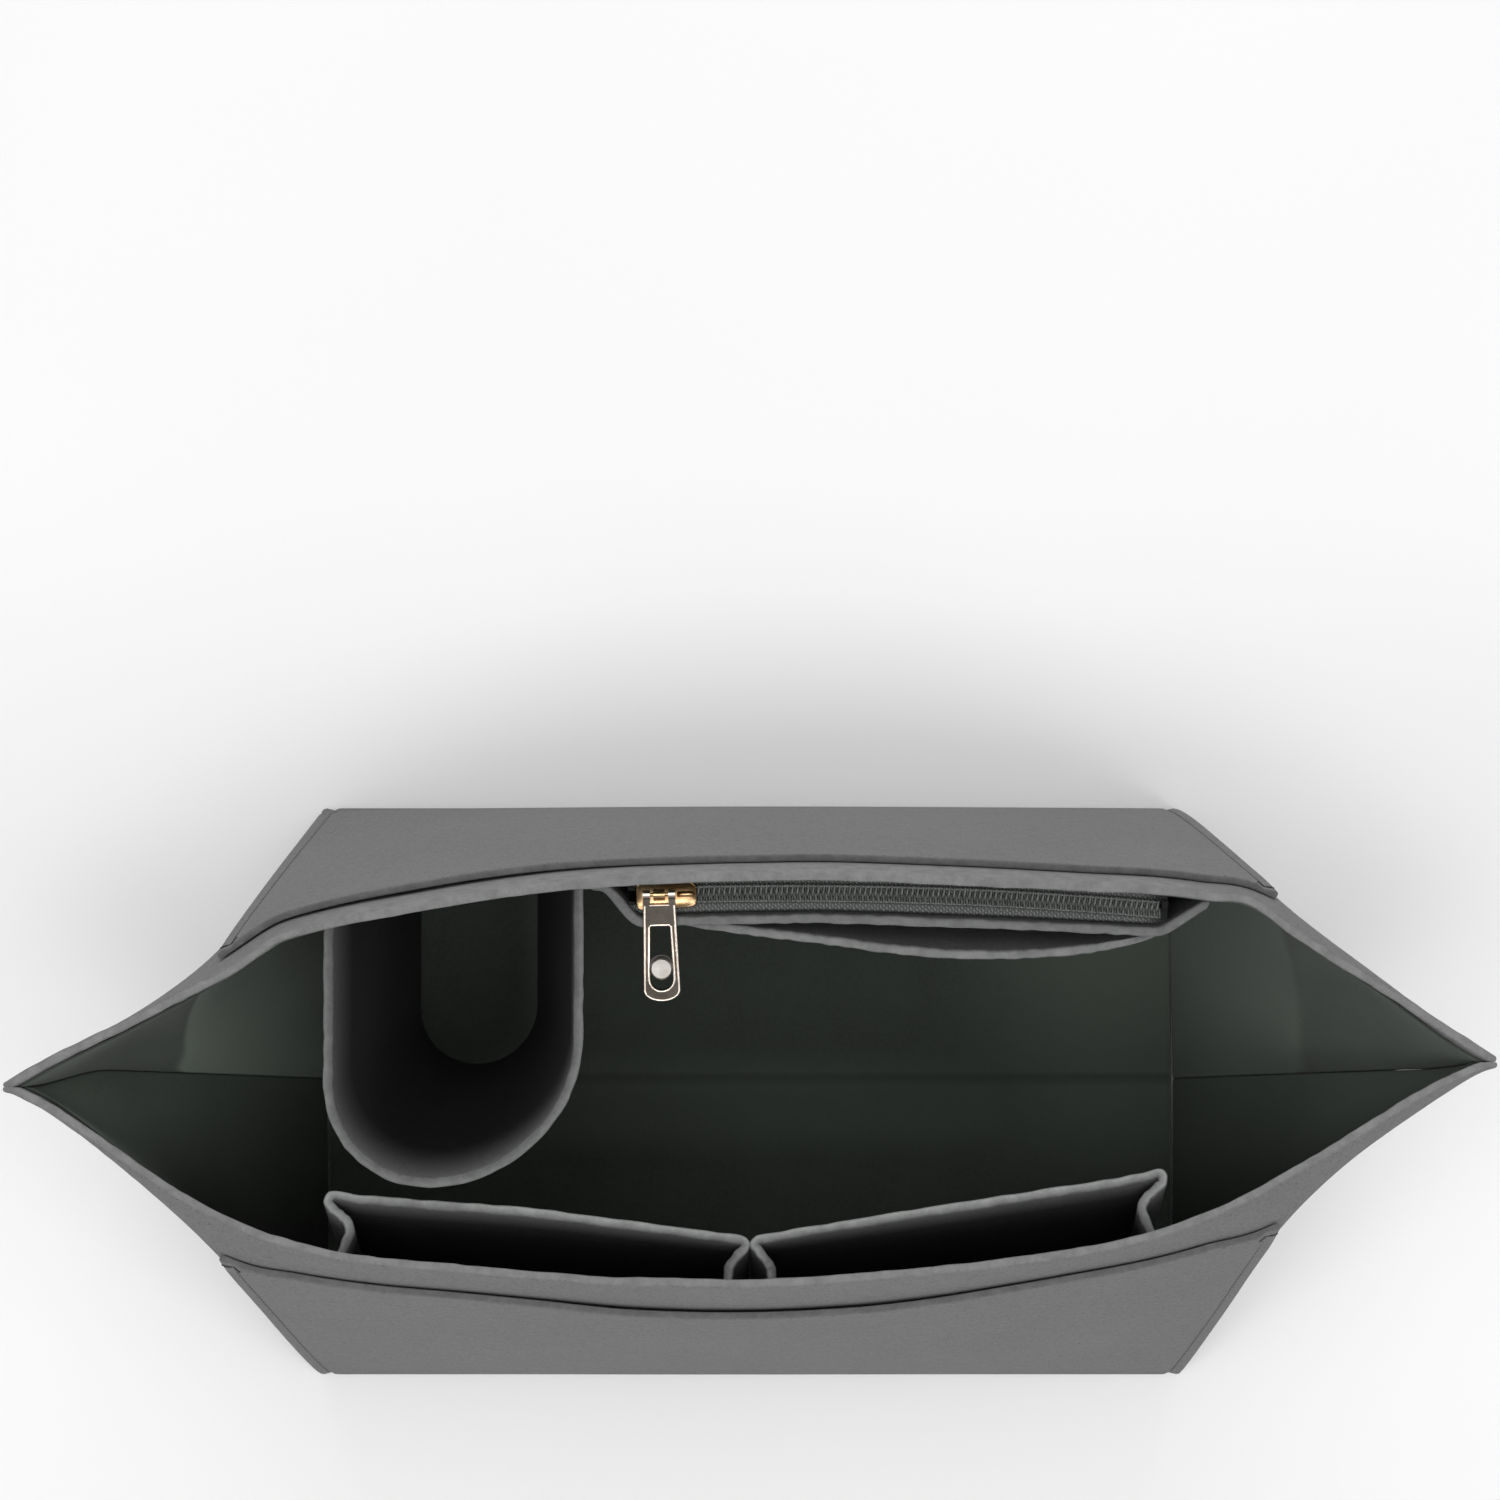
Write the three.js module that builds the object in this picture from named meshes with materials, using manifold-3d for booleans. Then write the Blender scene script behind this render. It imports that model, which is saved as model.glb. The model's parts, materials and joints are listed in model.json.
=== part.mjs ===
// Felt purse organizer insert, in millimetres, +Z up.
// Two felt walls rise from a long base and lean together into a lens-shaped rim that ends in two tips.
// Inside are a bottle holder, two pleated pockets, a slip pocket and a pocket closed by a zip.
// The origin is the middle of the base's underside, +X runs tip to tip and +Y points to the back.
import * as THREE from 'three';
import { mergeVertices } from 'three/addons/utils/BufferGeometryUtils.js';
import Module from 'manifold-3d';

const wasm = await Module();
wasm.setup();

// Cloth
const FELT = 3;
const LINING = 0.9;
const GAP = 0.3;               // clearance between pieces that are sewn or seated together

// Base and walls, measured on their outer faces
const BASE_LENGTH = 300;
const BASE_DEPTH = 191;
const BASE_CORNER = 6;
const BASE_SEAT = 0.6;         // wall or wall lining to the base pieces between them
const BASE_LEAST_ROUND = 1;    // corner radius of the smallest base piece
const WALL_HEIGHT = 210;       // cut height of a wall, measured along the felt
const FACE_BELLY = 1.6;        // the long faces stay upright low down and lean in near the rim
const SEAM_BELLY = 1.1;        // the side seams run almost straight
const LINING_DROP = 1;         // the lining stops this far below the rim

// Rim
const RIM_LENGTH = 470;
const RIM_DEPTH = 130;
const RIM_BOW = 700;           // radius of the rim's long sides
const RIM_KNEE = 170;          // half the length between the points above the base's corners
const RIM_FLANK = 0.61;        // slope of the straight flanks that run to the tips
const RIM_BLEND = 5;           // softness of the bend between a long side and a flank
const RIM_SKEW = 3.5;          // the right tip swings this far to the back, the left tip to the front
const RIM_FLARE_BACK = 10;     // the back wall's right flank stands out this far
const RIM_FLARE_FRONT = 6;     // the front wall's left flank stands out this far
const RIM_FLARE_FROM = 50;     // distance from the middle where a flare starts
const RIM_FLARE_AT = 195;      // distance from the middle where it is widest
const RIM_CURL = 3;            // the flanks' edges curl in this far
const RIM_CURL_FROM = 148;     // distance from the middle where the curl starts
const RIM_CURL_POWER = 6;      // the curl stays close to the edge

// Open pockets on the outside
const FRONT_POCKET_DROP = 33;  // from the rim down to the pocket's mouth
const FRONT_POCKET_RISE = 14;  // the front mouth's ends stand this far higher than its middle
const POCKET_RISE_SPAN = 95;   // half the length of the part that dips
const BACK_POCKET_DROP = 16;
const POCKET_GAPE = 2.2;       // how far the mouth stands off the wall
const POCKET_GAPE_POWER = 3;   // the gape starts high up
const POCKET_SEAT = 0.6;       // wall to pocket where they are sewn together
const STRIP_SEAT = 0.5;        // lining to the ends of the inner pockets that stand on it

// Bottle holder on the back wall
const HOLDER_X = -93.5;
const HOLDER_DROP = 17.8;      // from the middle of the rim down to its mouth
const HOLDER_FOOT = 12;        // its lower edge stays this far above the floor
const HOLDER_MOUTH_WIDTH = 82;
const HOLDER_MOUTH_REACH = 90;
const HOLDER_FOOT_WIDTH = 46;
const HOLDER_FOOT_REACH = 84;

// Two pleated pockets on the front wall
const PLEAT_DROP = 21.8;       // from the middle of the rim down to their mouths
const PLEAT_SPLIT = 0.9;       // half the space between the two pockets' folds
const PLEAT_ROOT_X = 130;      // where the outer pleat leaves the wall
const PLEAT_INSET = 5;         // the pleat's inner fold lies this far nearer the middle
const PLEAT_OVERHANG = 8.5;    // the pleat's outer fold lies this far nearer the tip
const PLEAT_MIDDLE_ROOT = 6.5; // where the middle leg meets the wall
const PLEAT_REACH_INNER = 13;
const PLEAT_REACH_OUTER = 22;
const PLEAT_REACH_MIDDLE = 15;
const PLEAT_FOOT_SHARE = 0.7;  // depth at the floor against depth at the mouth
const FOLD_RADIUS = 1.9;       // of the middle of the felt

// Zip pocket and the slip pocket in front of it, on the back wall
const ZIP_DROP = 23.8;         // from the middle of the rim down to the mid-plane of the zip's tape
const ZIP_SETBACK = 6.5;       // chain to lining
const ZIP_LEFT = -38.5;
const ZIP_RIGHT = 132;
const SLIDER_ROOM = 1.8;       // between the slider and the panel's near face
const ZIP_PANEL_RISE = 3;      // the panel's edge stands this far above the tape's mid-plane
const ZIP_PANEL_HEIGHT = 127;
const ZIP_PANEL_MARGIN = 8.5;  // the panel runs on past each end of the zip, to the wall
const ZIP_PANEL_LEG = 11;      // length over which it comes away from the wall
const ZIP_PANEL_SEAT = 0.7;    // lining to panel where it is sewn down
const SLIP_LEFT = -20;
const SLIP_RIGHT = 128;
const SLIP_DROP = 7;           // from the zip panel's edge down to the slip pocket's mouth
const SLIP_HEIGHT = 108;
const SLIP_GAPE = 9;
const SLIP_BOW = 1.5;          // higher values draw the open part towards the middle

// Zip chain
const TAPE = 0.8;
const TAPE_EDGE = 1.8;         // chain centre line to the tape's edge
const COIL_PITCH = 2.5;
const COIL_HEIGHT = 2;
const COIL_SPINE = 1;          // width of the sewn side of a coil
const TOOTH_WIDTH = 0.85;
const TOOTH_TAPER = 0.15;
const TOOTH_BITE = 0.6;        // how far a tooth reaches past the centre line
const STOP_LENGTH = 2;
const STOP_HEIGHT = 2.2;

// Zip slider
const SLIDER_LENGTH = 19;
const SLIDER_WIDE = 4.8;       // half width at the end where the chain is open
const SLIDER_NARROW = 4.1;
const SLIDER_ROUND = 2.6;
const SLIDER_PLATE = 1.2;
const SLIDER_LIP = 1;          // width of the lips that hold the coils in
const SLIDER_BEVEL = 0.35;
const WEDGE_LENGTH = 5;        // wedge between the plates that parts the coils
const WEDGE_INSET = 1;
const WEDGE_HALF = 1.4;
const RIDGE_WIDTH = 1.8;
const RIDGE_HEIGHT = 1.2;
const RIDGE_INSET = 1;

// Pull
const PIVOT_X = -2.3;          // pivot against the slider's middle
const PIVOT_HEIGHT = 3;        // above the slider's top plate
const PIN_RADIUS = 0.6;
const PIN_PLAY = 0.15;
const LUG_WIDTH = 3.6;
const LUG_RADIUS = 1.5;
const LUG_FLARE = 0.6;         // the lug widens this much towards its foot
const PULL_THICK = 1.5;
const PULL_BEVEL = 0.3;
const PULL_LENGTH = 35;
const PULL_END = 3.8;          // length of the rounded end
const PULL_TOP_HALF = 5.1;
const PULL_END_HALF = 5.9;
const FORK_HALF = 2.9;
const FORK_DEPTH = 3.2;
const WINDOW_TOP = 10.3;
const WINDOW_LENGTH = 20.9;
const WINDOW_TOP_HALF = 3.05;
const WINDOW_END_HALF = 3.6;
const STUD_AT = 23.7;
const STUD_RADIUS = 3.7;
const STUD_NECK = 2.7;
const STUD_FRONT = 1.6;
const STUD_BACK = 0.7;
const STUD_BEVEL = 0.6;

// Sizes that follow from the ones above
const FRONT = -1;
const BACK = 1;
const HALF_LENGTH = BASE_LENGTH / 2;
const HALF_DEPTH = BASE_DEPTH / 2;
const HALF_RIM = RIM_LENGTH / 2;
const SEAM_AT = HALF_LENGTH + HALF_DEPTH;
const FLARE_THREAD = HALF_LENGTH + (HALF_DEPTH * (RIM_FLARE_AT - RIM_KNEE)) / (HALF_RIM - RIM_KNEE);
const LINING_OUTER = FELT + GAP;
const LINING_INNER = LINING_OUTER + LINING;
const FLOOR = LINING_INNER;
const RIM_LEVEL = rimHeight(0);
const HOLDER_TOP = RIM_LEVEL - HOLDER_DROP;
const PLEAT_TOP = RIM_LEVEL - PLEAT_DROP;
const ZIP_LEVEL = RIM_LEVEL - ZIP_DROP;
const ZIP_PANEL_TOP = ZIP_LEVEL + ZIP_PANEL_RISE;
const ZIP_PANEL_FOOT = ZIP_PANEL_TOP - ZIP_PANEL_HEIGHT;
const SLIP_TOP = ZIP_PANEL_TOP - SLIP_DROP;
const SLIP_FOOT = SLIP_TOP - SLIP_HEIGHT;
const ZIP_PANEL_REACH = ZIP_SETBACK + SLIDER_WIDE + SLIDER_ROOM; // lining to the panel's near face
const COIL_FOOT = TAPE / 2 + GAP;
const CHANNEL_FLOOR = -(TAPE / 2 + GAP);
const CHANNEL_ROOF = COIL_FOOT + COIL_HEIGHT + GAP;
const SLIDER_TOP = CHANNEL_ROOF + SLIDER_PLATE;
const SLIDER_BOTTOM = CHANNEL_FLOOR - SLIDER_PLATE;

// Finishes
const feltGrey = new THREE.MeshStandardMaterial({ color: 0x707070, roughness: 0.95 });
const pocketGrey = new THREE.MeshStandardMaterial({ color: 0x676967, roughness: 0.95 });
const liningGreen = new THREE.MeshStandardMaterial({ color: 0x333a34, roughness: 0.9 });
const tapeGrey = new THREE.MeshStandardMaterial({ color: 0x535554, roughness: 0.85 });
const coilGrey = new THREE.MeshStandardMaterial({ color: 0x3a3c39, roughness: 0.5 });
const sliderGold = new THREE.MeshStandardMaterial({ color: 0xc09a62, roughness: 0.25, metalness: 1 });
const pullGold = new THREE.MeshStandardMaterial({ color: 0xd9cfc0, roughness: 0.2, metalness: 1 });

const insert = new THREE.Group();

function addPiece(parent, name, geometry, material) {
  const mesh = new THREE.Mesh(geometry, material);
  mesh.name = name;
  parent.add(mesh);
  return mesh;
}

// Evenly spaced values from one number to another, both included.
function spread(from, to, steps) {
  return Array.from({ length: steps + 1 }, (_, i) => from + ((to - from) * i) / steps);
}

// Closed sheet between two grids of points that face each other.
function slab(near, far) {
  const rows = near.length;
  const columns = near[0].length;
  const at = (side, r, c) => (side * rows + r) * columns + c;
  const quads = [];
  for (let r = 0; r < rows - 1; r += 1) {
    for (let c = 0; c < columns - 1; c += 1) {
      quads.push([at(0, r, c), at(0, r, c + 1), at(0, r + 1, c + 1), at(0, r + 1, c)]);
      quads.push([at(1, r, c), at(1, r + 1, c), at(1, r + 1, c + 1), at(1, r, c + 1)]);
    }
  }
  for (let c = 0; c < columns - 1; c += 1) {
    quads.push([at(0, 0, c), at(1, 0, c), at(1, 0, c + 1), at(0, 0, c + 1)]);
    quads.push([at(0, rows - 1, c), at(0, rows - 1, c + 1), at(1, rows - 1, c + 1), at(1, rows - 1, c)]);
  }
  for (let r = 0; r < rows - 1; r += 1) {
    const end = columns - 1;
    quads.push([at(0, r, 0), at(0, r + 1, 0), at(1, r + 1, 0), at(1, r, 0)]);
    quads.push([at(0, r, end), at(1, r, end), at(1, r + 1, end), at(0, r + 1, end)]);
  }
  return outward(new THREE.BufferGeometry().setFromPoints([...near.flat(), ...far.flat()]), quads);
}

// Turns a closed set of quads into triangles whose faces all point out.
function outward(geometry, quads) {
  const triangles = quads.flatMap(([a, b, c, d]) => [[a, b, c], [a, c, d]]);
  const point = (i) => new THREE.Vector3().fromBufferAttribute(geometry.attributes.position, i);
  const volume = triangles.reduce((sum, [a, b, c]) => sum + point(a).dot(point(b).cross(point(c))), 0);
  geometry.setIndex(triangles.flatMap(([a, b, c]) => (volume > 0 ? [a, b, c] : [a, c, b])));
  geometry.computeVertexNormals();
  return geometry;
}

// Plain extrusion of a shape between two heights.
function plate(shape, bottom, top, bevel = 0) {
  const geometry = new THREE.ExtrudeGeometry(shape, {
    depth: top - bottom - 2 * bevel,
    bevelEnabled: bevel > 0,
    bevelThickness: bevel,
    bevelSize: bevel,
    bevelOffset: -bevel,
    bevelSegments: 2,
    curveSegments: 6,
  });
  return geometry.translate(0, 0, bottom + bevel);
}

// The same extrusion with the shape standing in the YZ plane and the length along X.
function barAlongX(shape, from, to) {
  const turn = new THREE.Matrix4().makeBasis(
    new THREE.Vector3(0, 1, 0),
    new THREE.Vector3(0, 0, 1),
    new THREE.Vector3(1, 0, 0),
  );
  return plate(shape, from, to).applyMatrix4(turn);
}

function disc(radius, y = 0, z = 0) {
  return new THREE.Shape().absarc(y, z, radius, 0, 2 * Math.PI);
}

function rectangle(x0, y0, x1, y1) {
  const corners = [[x0, y0], [x1, y0], [x1, y1], [x0, y1]];
  return new THREE.Shape(corners.map(([x, y]) => new THREE.Vector2(x, y)));
}

function toSolid(geometry) {
  const bare = geometry.clone();
  bare.deleteAttribute('normal');
  bare.deleteAttribute('uv');
  const welded = mergeVertices(bare, 1e-4);
  return new wasm.Manifold(new wasm.Mesh({
    numProp: 3,
    vertProperties: new Float32Array(welded.attributes.position.array),
    triVerts: new Uint32Array(welded.index.array),
  }));
}

function fromSolid(solid) {
  const mesh = solid.getMesh();
  const geometry = new THREE.BufferGeometry();
  geometry.setAttribute('position', new THREE.BufferAttribute(mesh.vertProperties, 3));
  geometry.setIndex(new THREE.BufferAttribute(mesh.triVerts, 1));
  geometry.computeVertexNormals();
  return geometry;
}

// Distance from the middle line to the rim at x.
function rimDepth(x) {
  const face = RIM_DEPTH / 2 - (x * x) / (2 * RIM_BOW);
  const flank = RIM_FLANK * (HALF_RIM - Math.abs(x));
  return Math.max(0, (face + flank - Math.hypot(face - flank, RIM_BLEND)) / 2);
}

// Point of the base's outline at the distance u along it from the middle of a long side.
function basePoint(u) {
  const past = Math.abs(u) - HALF_LENGTH;
  const side = Math.sign(u);
  if (past <= -BASE_CORNER) return new THREE.Vector2(u, HALF_DEPTH);
  if (past >= BASE_CORNER) return new THREE.Vector2(side * HALF_LENGTH, HALF_DEPTH - past);
  const turn = ((past / BASE_CORNER + 1) * Math.PI) / 4;
  const along = HALF_LENGTH - BASE_CORNER + BASE_CORNER * Math.sin(turn);
  return new THREE.Vector2(side * along, HALF_DEPTH - BASE_CORNER + BASE_CORNER * Math.cos(turn));
}

// Point of the rim on the thread of felt that starts at u on the base.
function rimPoint(u) {
  const past = Math.abs(u) - HALF_LENGTH;
  const reach = past < 0
    ? RIM_KNEE * (1 + past / HALF_LENGTH)
    : RIM_KNEE + ((HALF_RIM - RIM_KNEE) * past) / HALF_DEPTH;
  const x = Math.sign(u) * reach;
  return new THREE.Vector2(x, rimDepth(x));
}

function rimHeight(u) {
  return Math.sqrt(WALL_HEIGHT ** 2 - basePoint(u).distanceToSquared(rimPoint(u)));
}

// How far a wall stands out from the plain lens at x on the thread u, when it has leaned this share of the
// way to the rim. It stands out less towards the side seams, so that the two walls meet there.
function flankReach(side, u, x, lean) {
  const away = Math.abs(x);
  const { smoothstep } = THREE.MathUtils;
  const seamShare = 1 - smoothstep(Math.abs(u), FLARE_THREAD, SEAM_AT);
  const widest = side * x < 0 ? 0 : { [FRONT]: RIM_FLARE_FRONT, [BACK]: RIM_FLARE_BACK }[side];
  const flare = widest * smoothstep(away, RIM_FLARE_FROM, RIM_FLARE_AT);
  const curl = RIM_CURL * smoothstep(away, RIM_CURL_FROM, RIM_FLARE_AT);
  return (flare * lean - curl * lean ** RIM_CURL_POWER) * seamShare;
}

// Point of a wall's outer face at height z on the thread u.
function wallPoint(side, u, z) {
  const belly = THREE.MathUtils.lerp(FACE_BELLY, SEAM_BELLY, Math.abs(u) / SEAM_AT);
  const lean = (z / rimHeight(u)) ** belly;
  const plan = basePoint(u).lerp(rimPoint(u), lean);
  const skew = (RIM_SKEW * lean * plan.x) / HALF_RIM;
  return new THREE.Vector3(plan.x, side * (plan.y + flankReach(side, u, plan.x, lean)) + skew, z);
}

// Threads of felt that the walls are built on, closer together round the base's corners.
function wallThreads() {
  const half = [
    ...spread(0, HALF_LENGTH - BASE_CORNER, 8),
    ...spread(HALF_LENGTH - BASE_CORNER, HALF_LENGTH + BASE_CORNER, 4).slice(1),
    ...spread(HALF_LENGTH + BASE_CORNER, SEAM_AT, 6).slice(1),
  ];
  return [...half.slice(1).reverse().map((u) => -u), ...half];
}

const SHARPEST_MITRE = 0.4;    // cosine of the sharpest half bend that is mitred in full
const THREADS = wallThreads();
const WALL_ROWS = spread(0, 1, 7).map((t) => t ** 1.4); // shares of a wall's height

// Unit vector to one side of the step from a to b, seen from above.
function sideways(a, b) {
  return new THREE.Vector3(b.y - a.y, a.x - b.x, 0).normalize();
}

// Moves a row of points sideways in plan by a fixed distance, mitred at each bend.
function offsetRow(row, distance) {
  return row.map((point, i) => {
    const before = sideways(row[Math.max(i - 1, 0)], row[Math.max(i, 1)]);
    const last = row.length - 1;
    const after = sideways(row[Math.min(i, last - 1)], row[Math.min(i + 1, last)]);
    const mitre = before.clone().add(after).normalize();
    return point.clone().addScaledVector(mitre, distance / Math.max(mitre.dot(after), SHARPEST_MITRE));
  });
}

// Slides a row's end along its last step until it meets the side seam.
function meetSeam(end, next, seamY) {
  const share = (seamY - end.y) / (next.y - end.y);
  const height = end.z;
  end.lerp(next, share).setZ(height);
}

// One row round a wall, moved inward from the outer face and closed at the side seams.
function wallRow(side, inward, heightAt) {
  const outer = THREADS.map((u) => wallPoint(side, u, heightAt(u)));
  const row = offsetRow(outer, side * inward);
  const last = row.length - 1;
  meetSeam(row[0], row[1], outer[0].y + (side * GAP) / 2);
  meetSeam(row[last], row[last - 1], outer[last].y + (side * GAP) / 2);
  return row;
}

// Rows from a level foot up to an edge that keeps its distance from the rim, closer together low down.
function wallRows(side, inward, foot, drop) {
  return WALL_ROWS.map((t) =>
    wallRow(side, inward, (u) => THREE.MathUtils.lerp(foot, rimHeight(u) - drop, t)));
}

function wallSheet(side, inward, thick, foot, drop) {
  return slab(wallRows(side, inward, foot, drop), wallRows(side, inward + thick, foot, drop));
}

function buildShell() {
  const liningFoot = FELT + GAP;
  for (const [name, side] of [['front', FRONT], ['back', BACK]]) {
    addPiece(insert, `${name}_wall`, wallSheet(side, 0, FELT, 0, 0), feltGrey);
    const lining = wallSheet(side, LINING_OUTER, LINING, liningFoot, LINING_DROP);
    addPiece(insert, `${name}_lining`, lining, liningGreen);
  }
  addPiece(insert, 'base_panel', plate(baseOutline(FELT + BASE_SEAT), 0, FELT), feltGrey);
  const floor = plate(baseOutline(LINING_INNER + BASE_SEAT), liningFoot, FLOOR);
  addPiece(insert, 'base_lining', floor, liningGreen);
}

// The base's outline, moved inward all round.
function baseOutline(inward) {
  const x = HALF_LENGTH - inward;
  const y = HALF_DEPTH - inward;
  const round = Math.max(BASE_CORNER - inward, BASE_LEAST_ROUND);
  const shape = new THREE.Shape();
  shape.absarc(x - round, y - round, round, 0, Math.PI / 2);
  shape.absarc(round - x, y - round, round, Math.PI / 2, Math.PI);
  shape.absarc(round - x, round - y, round, Math.PI, 1.5 * Math.PI);
  shape.absarc(x - round, round - y, round, 1.5 * Math.PI, 2 * Math.PI);
  return shape;
}

// Flat pocket sewn on the outside of a wall, from corner to corner, with its mouth standing off a little.
function outerPocket(side, drop, rise) {
  const onFace = (row) => row.filter((_, i) => Math.abs(THREADS[i]) < HALF_LENGTH);
  const faceThreads = THREADS.filter((u) => Math.abs(u) < HALF_LENGTH);
  const mouthAt = (u) =>
    rimHeight(u) - drop + rise * THREE.MathUtils.smoothstep(Math.abs(u), 0, POCKET_RISE_SPAN);
  const gapeAt = (u, t) => POCKET_GAPE * t ** POCKET_GAPE_POWER * (1 - (u / HALF_LENGTH) ** 2);
  const sheet = (outset) => WALL_ROWS.map((t) => {
    const seated = onFace(wallRow(side, -outset, (u) => mouthAt(u) * t));
    return seated.map((point, i) => point.add(new THREE.Vector3(0, side * gapeAt(faceThreads[i], t), 0)));
  });
  return slab(sheet(POCKET_SEAT), sheet(POCKET_SEAT + FELT));
}

// Level line along the inner face of the lining, as a function that gives y at x.
function liningLine(side, z) {
  const row = wallRow(side, LINING_INNER, () => z);
  return (x) => {
    const i = THREE.MathUtils.clamp(row.findIndex((p) => p.x > x), 1, row.length - 1);
    const share = (x - row[i - 1].x) / (row[i].x - row[i - 1].x);
    return THREE.MathUtils.lerp(row[i - 1].y, row[i].y, share);
  };
}

// Felt strip standing on a wall's lining. Its plan at each level is a path of (x, distance from the lining).
function standingStrip(side, levels, pathAt, meetsWall) {
  const near = [];
  const far = [];
  for (const z of levels) {
    const line = liningLine(side, z);
    const centre = pathAt(z).map((p) => new THREE.Vector3(p.x, line(p.x) - side * p.y, z));
    for (const [rows, shift] of [[near, FELT / 2], [far, -FELT / 2]]) {
      const row = offsetRow(centre, shift);
      const ends = meetsWall ? [row[0], row[row.length - 1]] : [];
      ends.forEach((end) => end.setY(line(end.x) - side * STRIP_SEAT));
      rows.push(row);
    }
  }
  return slab(near, far);
}

// U-shaped holder: two straight legs from the wall, joined by a half round.
function holderPath(z) {
  const foot = FLOOR + HOLDER_FOOT;
  const t = (z - foot) / (HOLDER_TOP - foot);
  const half = THREE.MathUtils.lerp(HOLDER_FOOT_WIDTH, HOLDER_MOUTH_WIDTH, t) / 2 - FELT / 2;
  const reach = THREE.MathUtils.lerp(HOLDER_FOOT_REACH, HOLDER_MOUTH_REACH, t) - FELT / 2;
  const leg = spread(0, reach - half, 3).slice(0, -1);
  const round = spread(Math.PI, 0, 12).map((a) => new THREE.Vector2(
    HOLDER_X + half * Math.cos(a),
    reach - half + half * Math.sin(a),
  ));
  return [
    ...leg.map((n) => new THREE.Vector2(HOLDER_X - half, n)),
    ...round,
    ...leg.reverse().map((n) => new THREE.Vector2(HOLDER_X + half, n)),
  ];
}

// Path through corner points with each corner rounded, and each straight run cut into steps.
function foldedPath(corners, radius, runs) {
  const bends = corners.slice(1, -1).map((corner, i) => {
    const back = corners[i].clone().sub(corner);
    const ahead = corners[i + 2].clone().sub(corner);
    const half = Math.acos(back.clone().normalize().dot(ahead.clone().normalize())) / 2;
    const longest = 0.55 * Math.min(back.length(), ahead.length());
    const tangent = Math.min(radius / Math.tan(half), longest);
    const start = corner.clone().addScaledVector(back.normalize(), tangent);
    const end = corner.clone().addScaledVector(ahead.normalize(), tangent);
    const centre = corner.clone().addScaledVector(back.add(ahead).normalize(), tangent / Math.cos(half));
    const from = start.clone().sub(centre);
    const turn = Math.sign(from.cross(end.clone().sub(centre))) * (Math.PI - 2 * half);
    return spread(0, turn, 6).map((a) => from.clone().rotateAround(new THREE.Vector2(), a).add(centre));
  });
  const stops = [[corners[0]], ...bends, [corners[corners.length - 1]]];
  return stops.flatMap((bend, i) => {
    if (i === 0) return bend;
    const from = stops[i - 1][stops[i - 1].length - 1];
    const run = spread(0, 1, runs[i - 1]).slice(1, -1).map((t) => from.clone().lerp(bend[0], t));
    return [...run, ...bend];
  });
}

// Pleated pocket on the front wall: hand -1 is left of the middle, +1 is right of it.
function pleatPath(hand, z) {
  const share = THREE.MathUtils.lerp(PLEAT_FOOT_SHARE, 1, (z - FLOOR) / (PLEAT_TOP - FLOOR));
  const corners = [
    [PLEAT_ROOT_X, 0],
    [PLEAT_ROOT_X - PLEAT_INSET, PLEAT_REACH_INNER],
    [PLEAT_ROOT_X + PLEAT_OVERHANG, PLEAT_REACH_OUTER],
    [PLEAT_SPLIT, PLEAT_REACH_MIDDLE],
    [PLEAT_MIDDLE_ROOT, 0],
  ].map(([x, n]) => new THREE.Vector2(hand * x, n * share));
  return foldedPath(corners, FOLD_RADIUS, [2, 1, 8, 3]);
}

// How far the zip panel's middle surface stands from the lining at x and z.
function zipPanelReach(x, z) {
  const flat = ZIP_PANEL_SEAT + FELT / 2;
  const left = ZIP_LEFT - ZIP_PANEL_MARGIN;
  const right = ZIP_RIGHT + ZIP_PANEL_MARGIN;
  const away = THREE.MathUtils.smoothstep(x, left, left + ZIP_PANEL_LEG)
    * (1 - THREE.MathUtils.smoothstep(x, right - ZIP_PANEL_LEG, right));
  const rise = (z - ZIP_PANEL_FOOT) / (ZIP_PANEL_TOP - ZIP_PANEL_FOOT);
  return flat + (ZIP_PANEL_REACH + FELT / 2 - flat) * away * rise;
}

function zipPanelPath(z) {
  const left = ZIP_LEFT - ZIP_PANEL_MARGIN;
  const right = ZIP_RIGHT + ZIP_PANEL_MARGIN;
  const xs = [
    ...spread(left - FELT, left + ZIP_PANEL_LEG, 6),
    ...spread(left + ZIP_PANEL_LEG, right - ZIP_PANEL_LEG, 10).slice(1, -1),
    ...spread(right - ZIP_PANEL_LEG, right + FELT, 6),
  ];
  return xs.map((x) => new THREE.Vector2(x, zipPanelReach(x, z)));
}

function slipPath(z) {
  const rise = (z - SLIP_FOOT) / (SLIP_TOP - SLIP_FOOT);
  return spread(SLIP_LEFT, SLIP_RIGHT, 14).map((x) => {
    const along = (x - SLIP_LEFT) / (SLIP_RIGHT - SLIP_LEFT);
    const bow = SLIP_GAPE * rise * Math.sin(Math.PI * along) ** SLIP_BOW;
    return new THREE.Vector2(x, zipPanelReach(x, z) + FELT + GAP + bow);
  });
}

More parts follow.
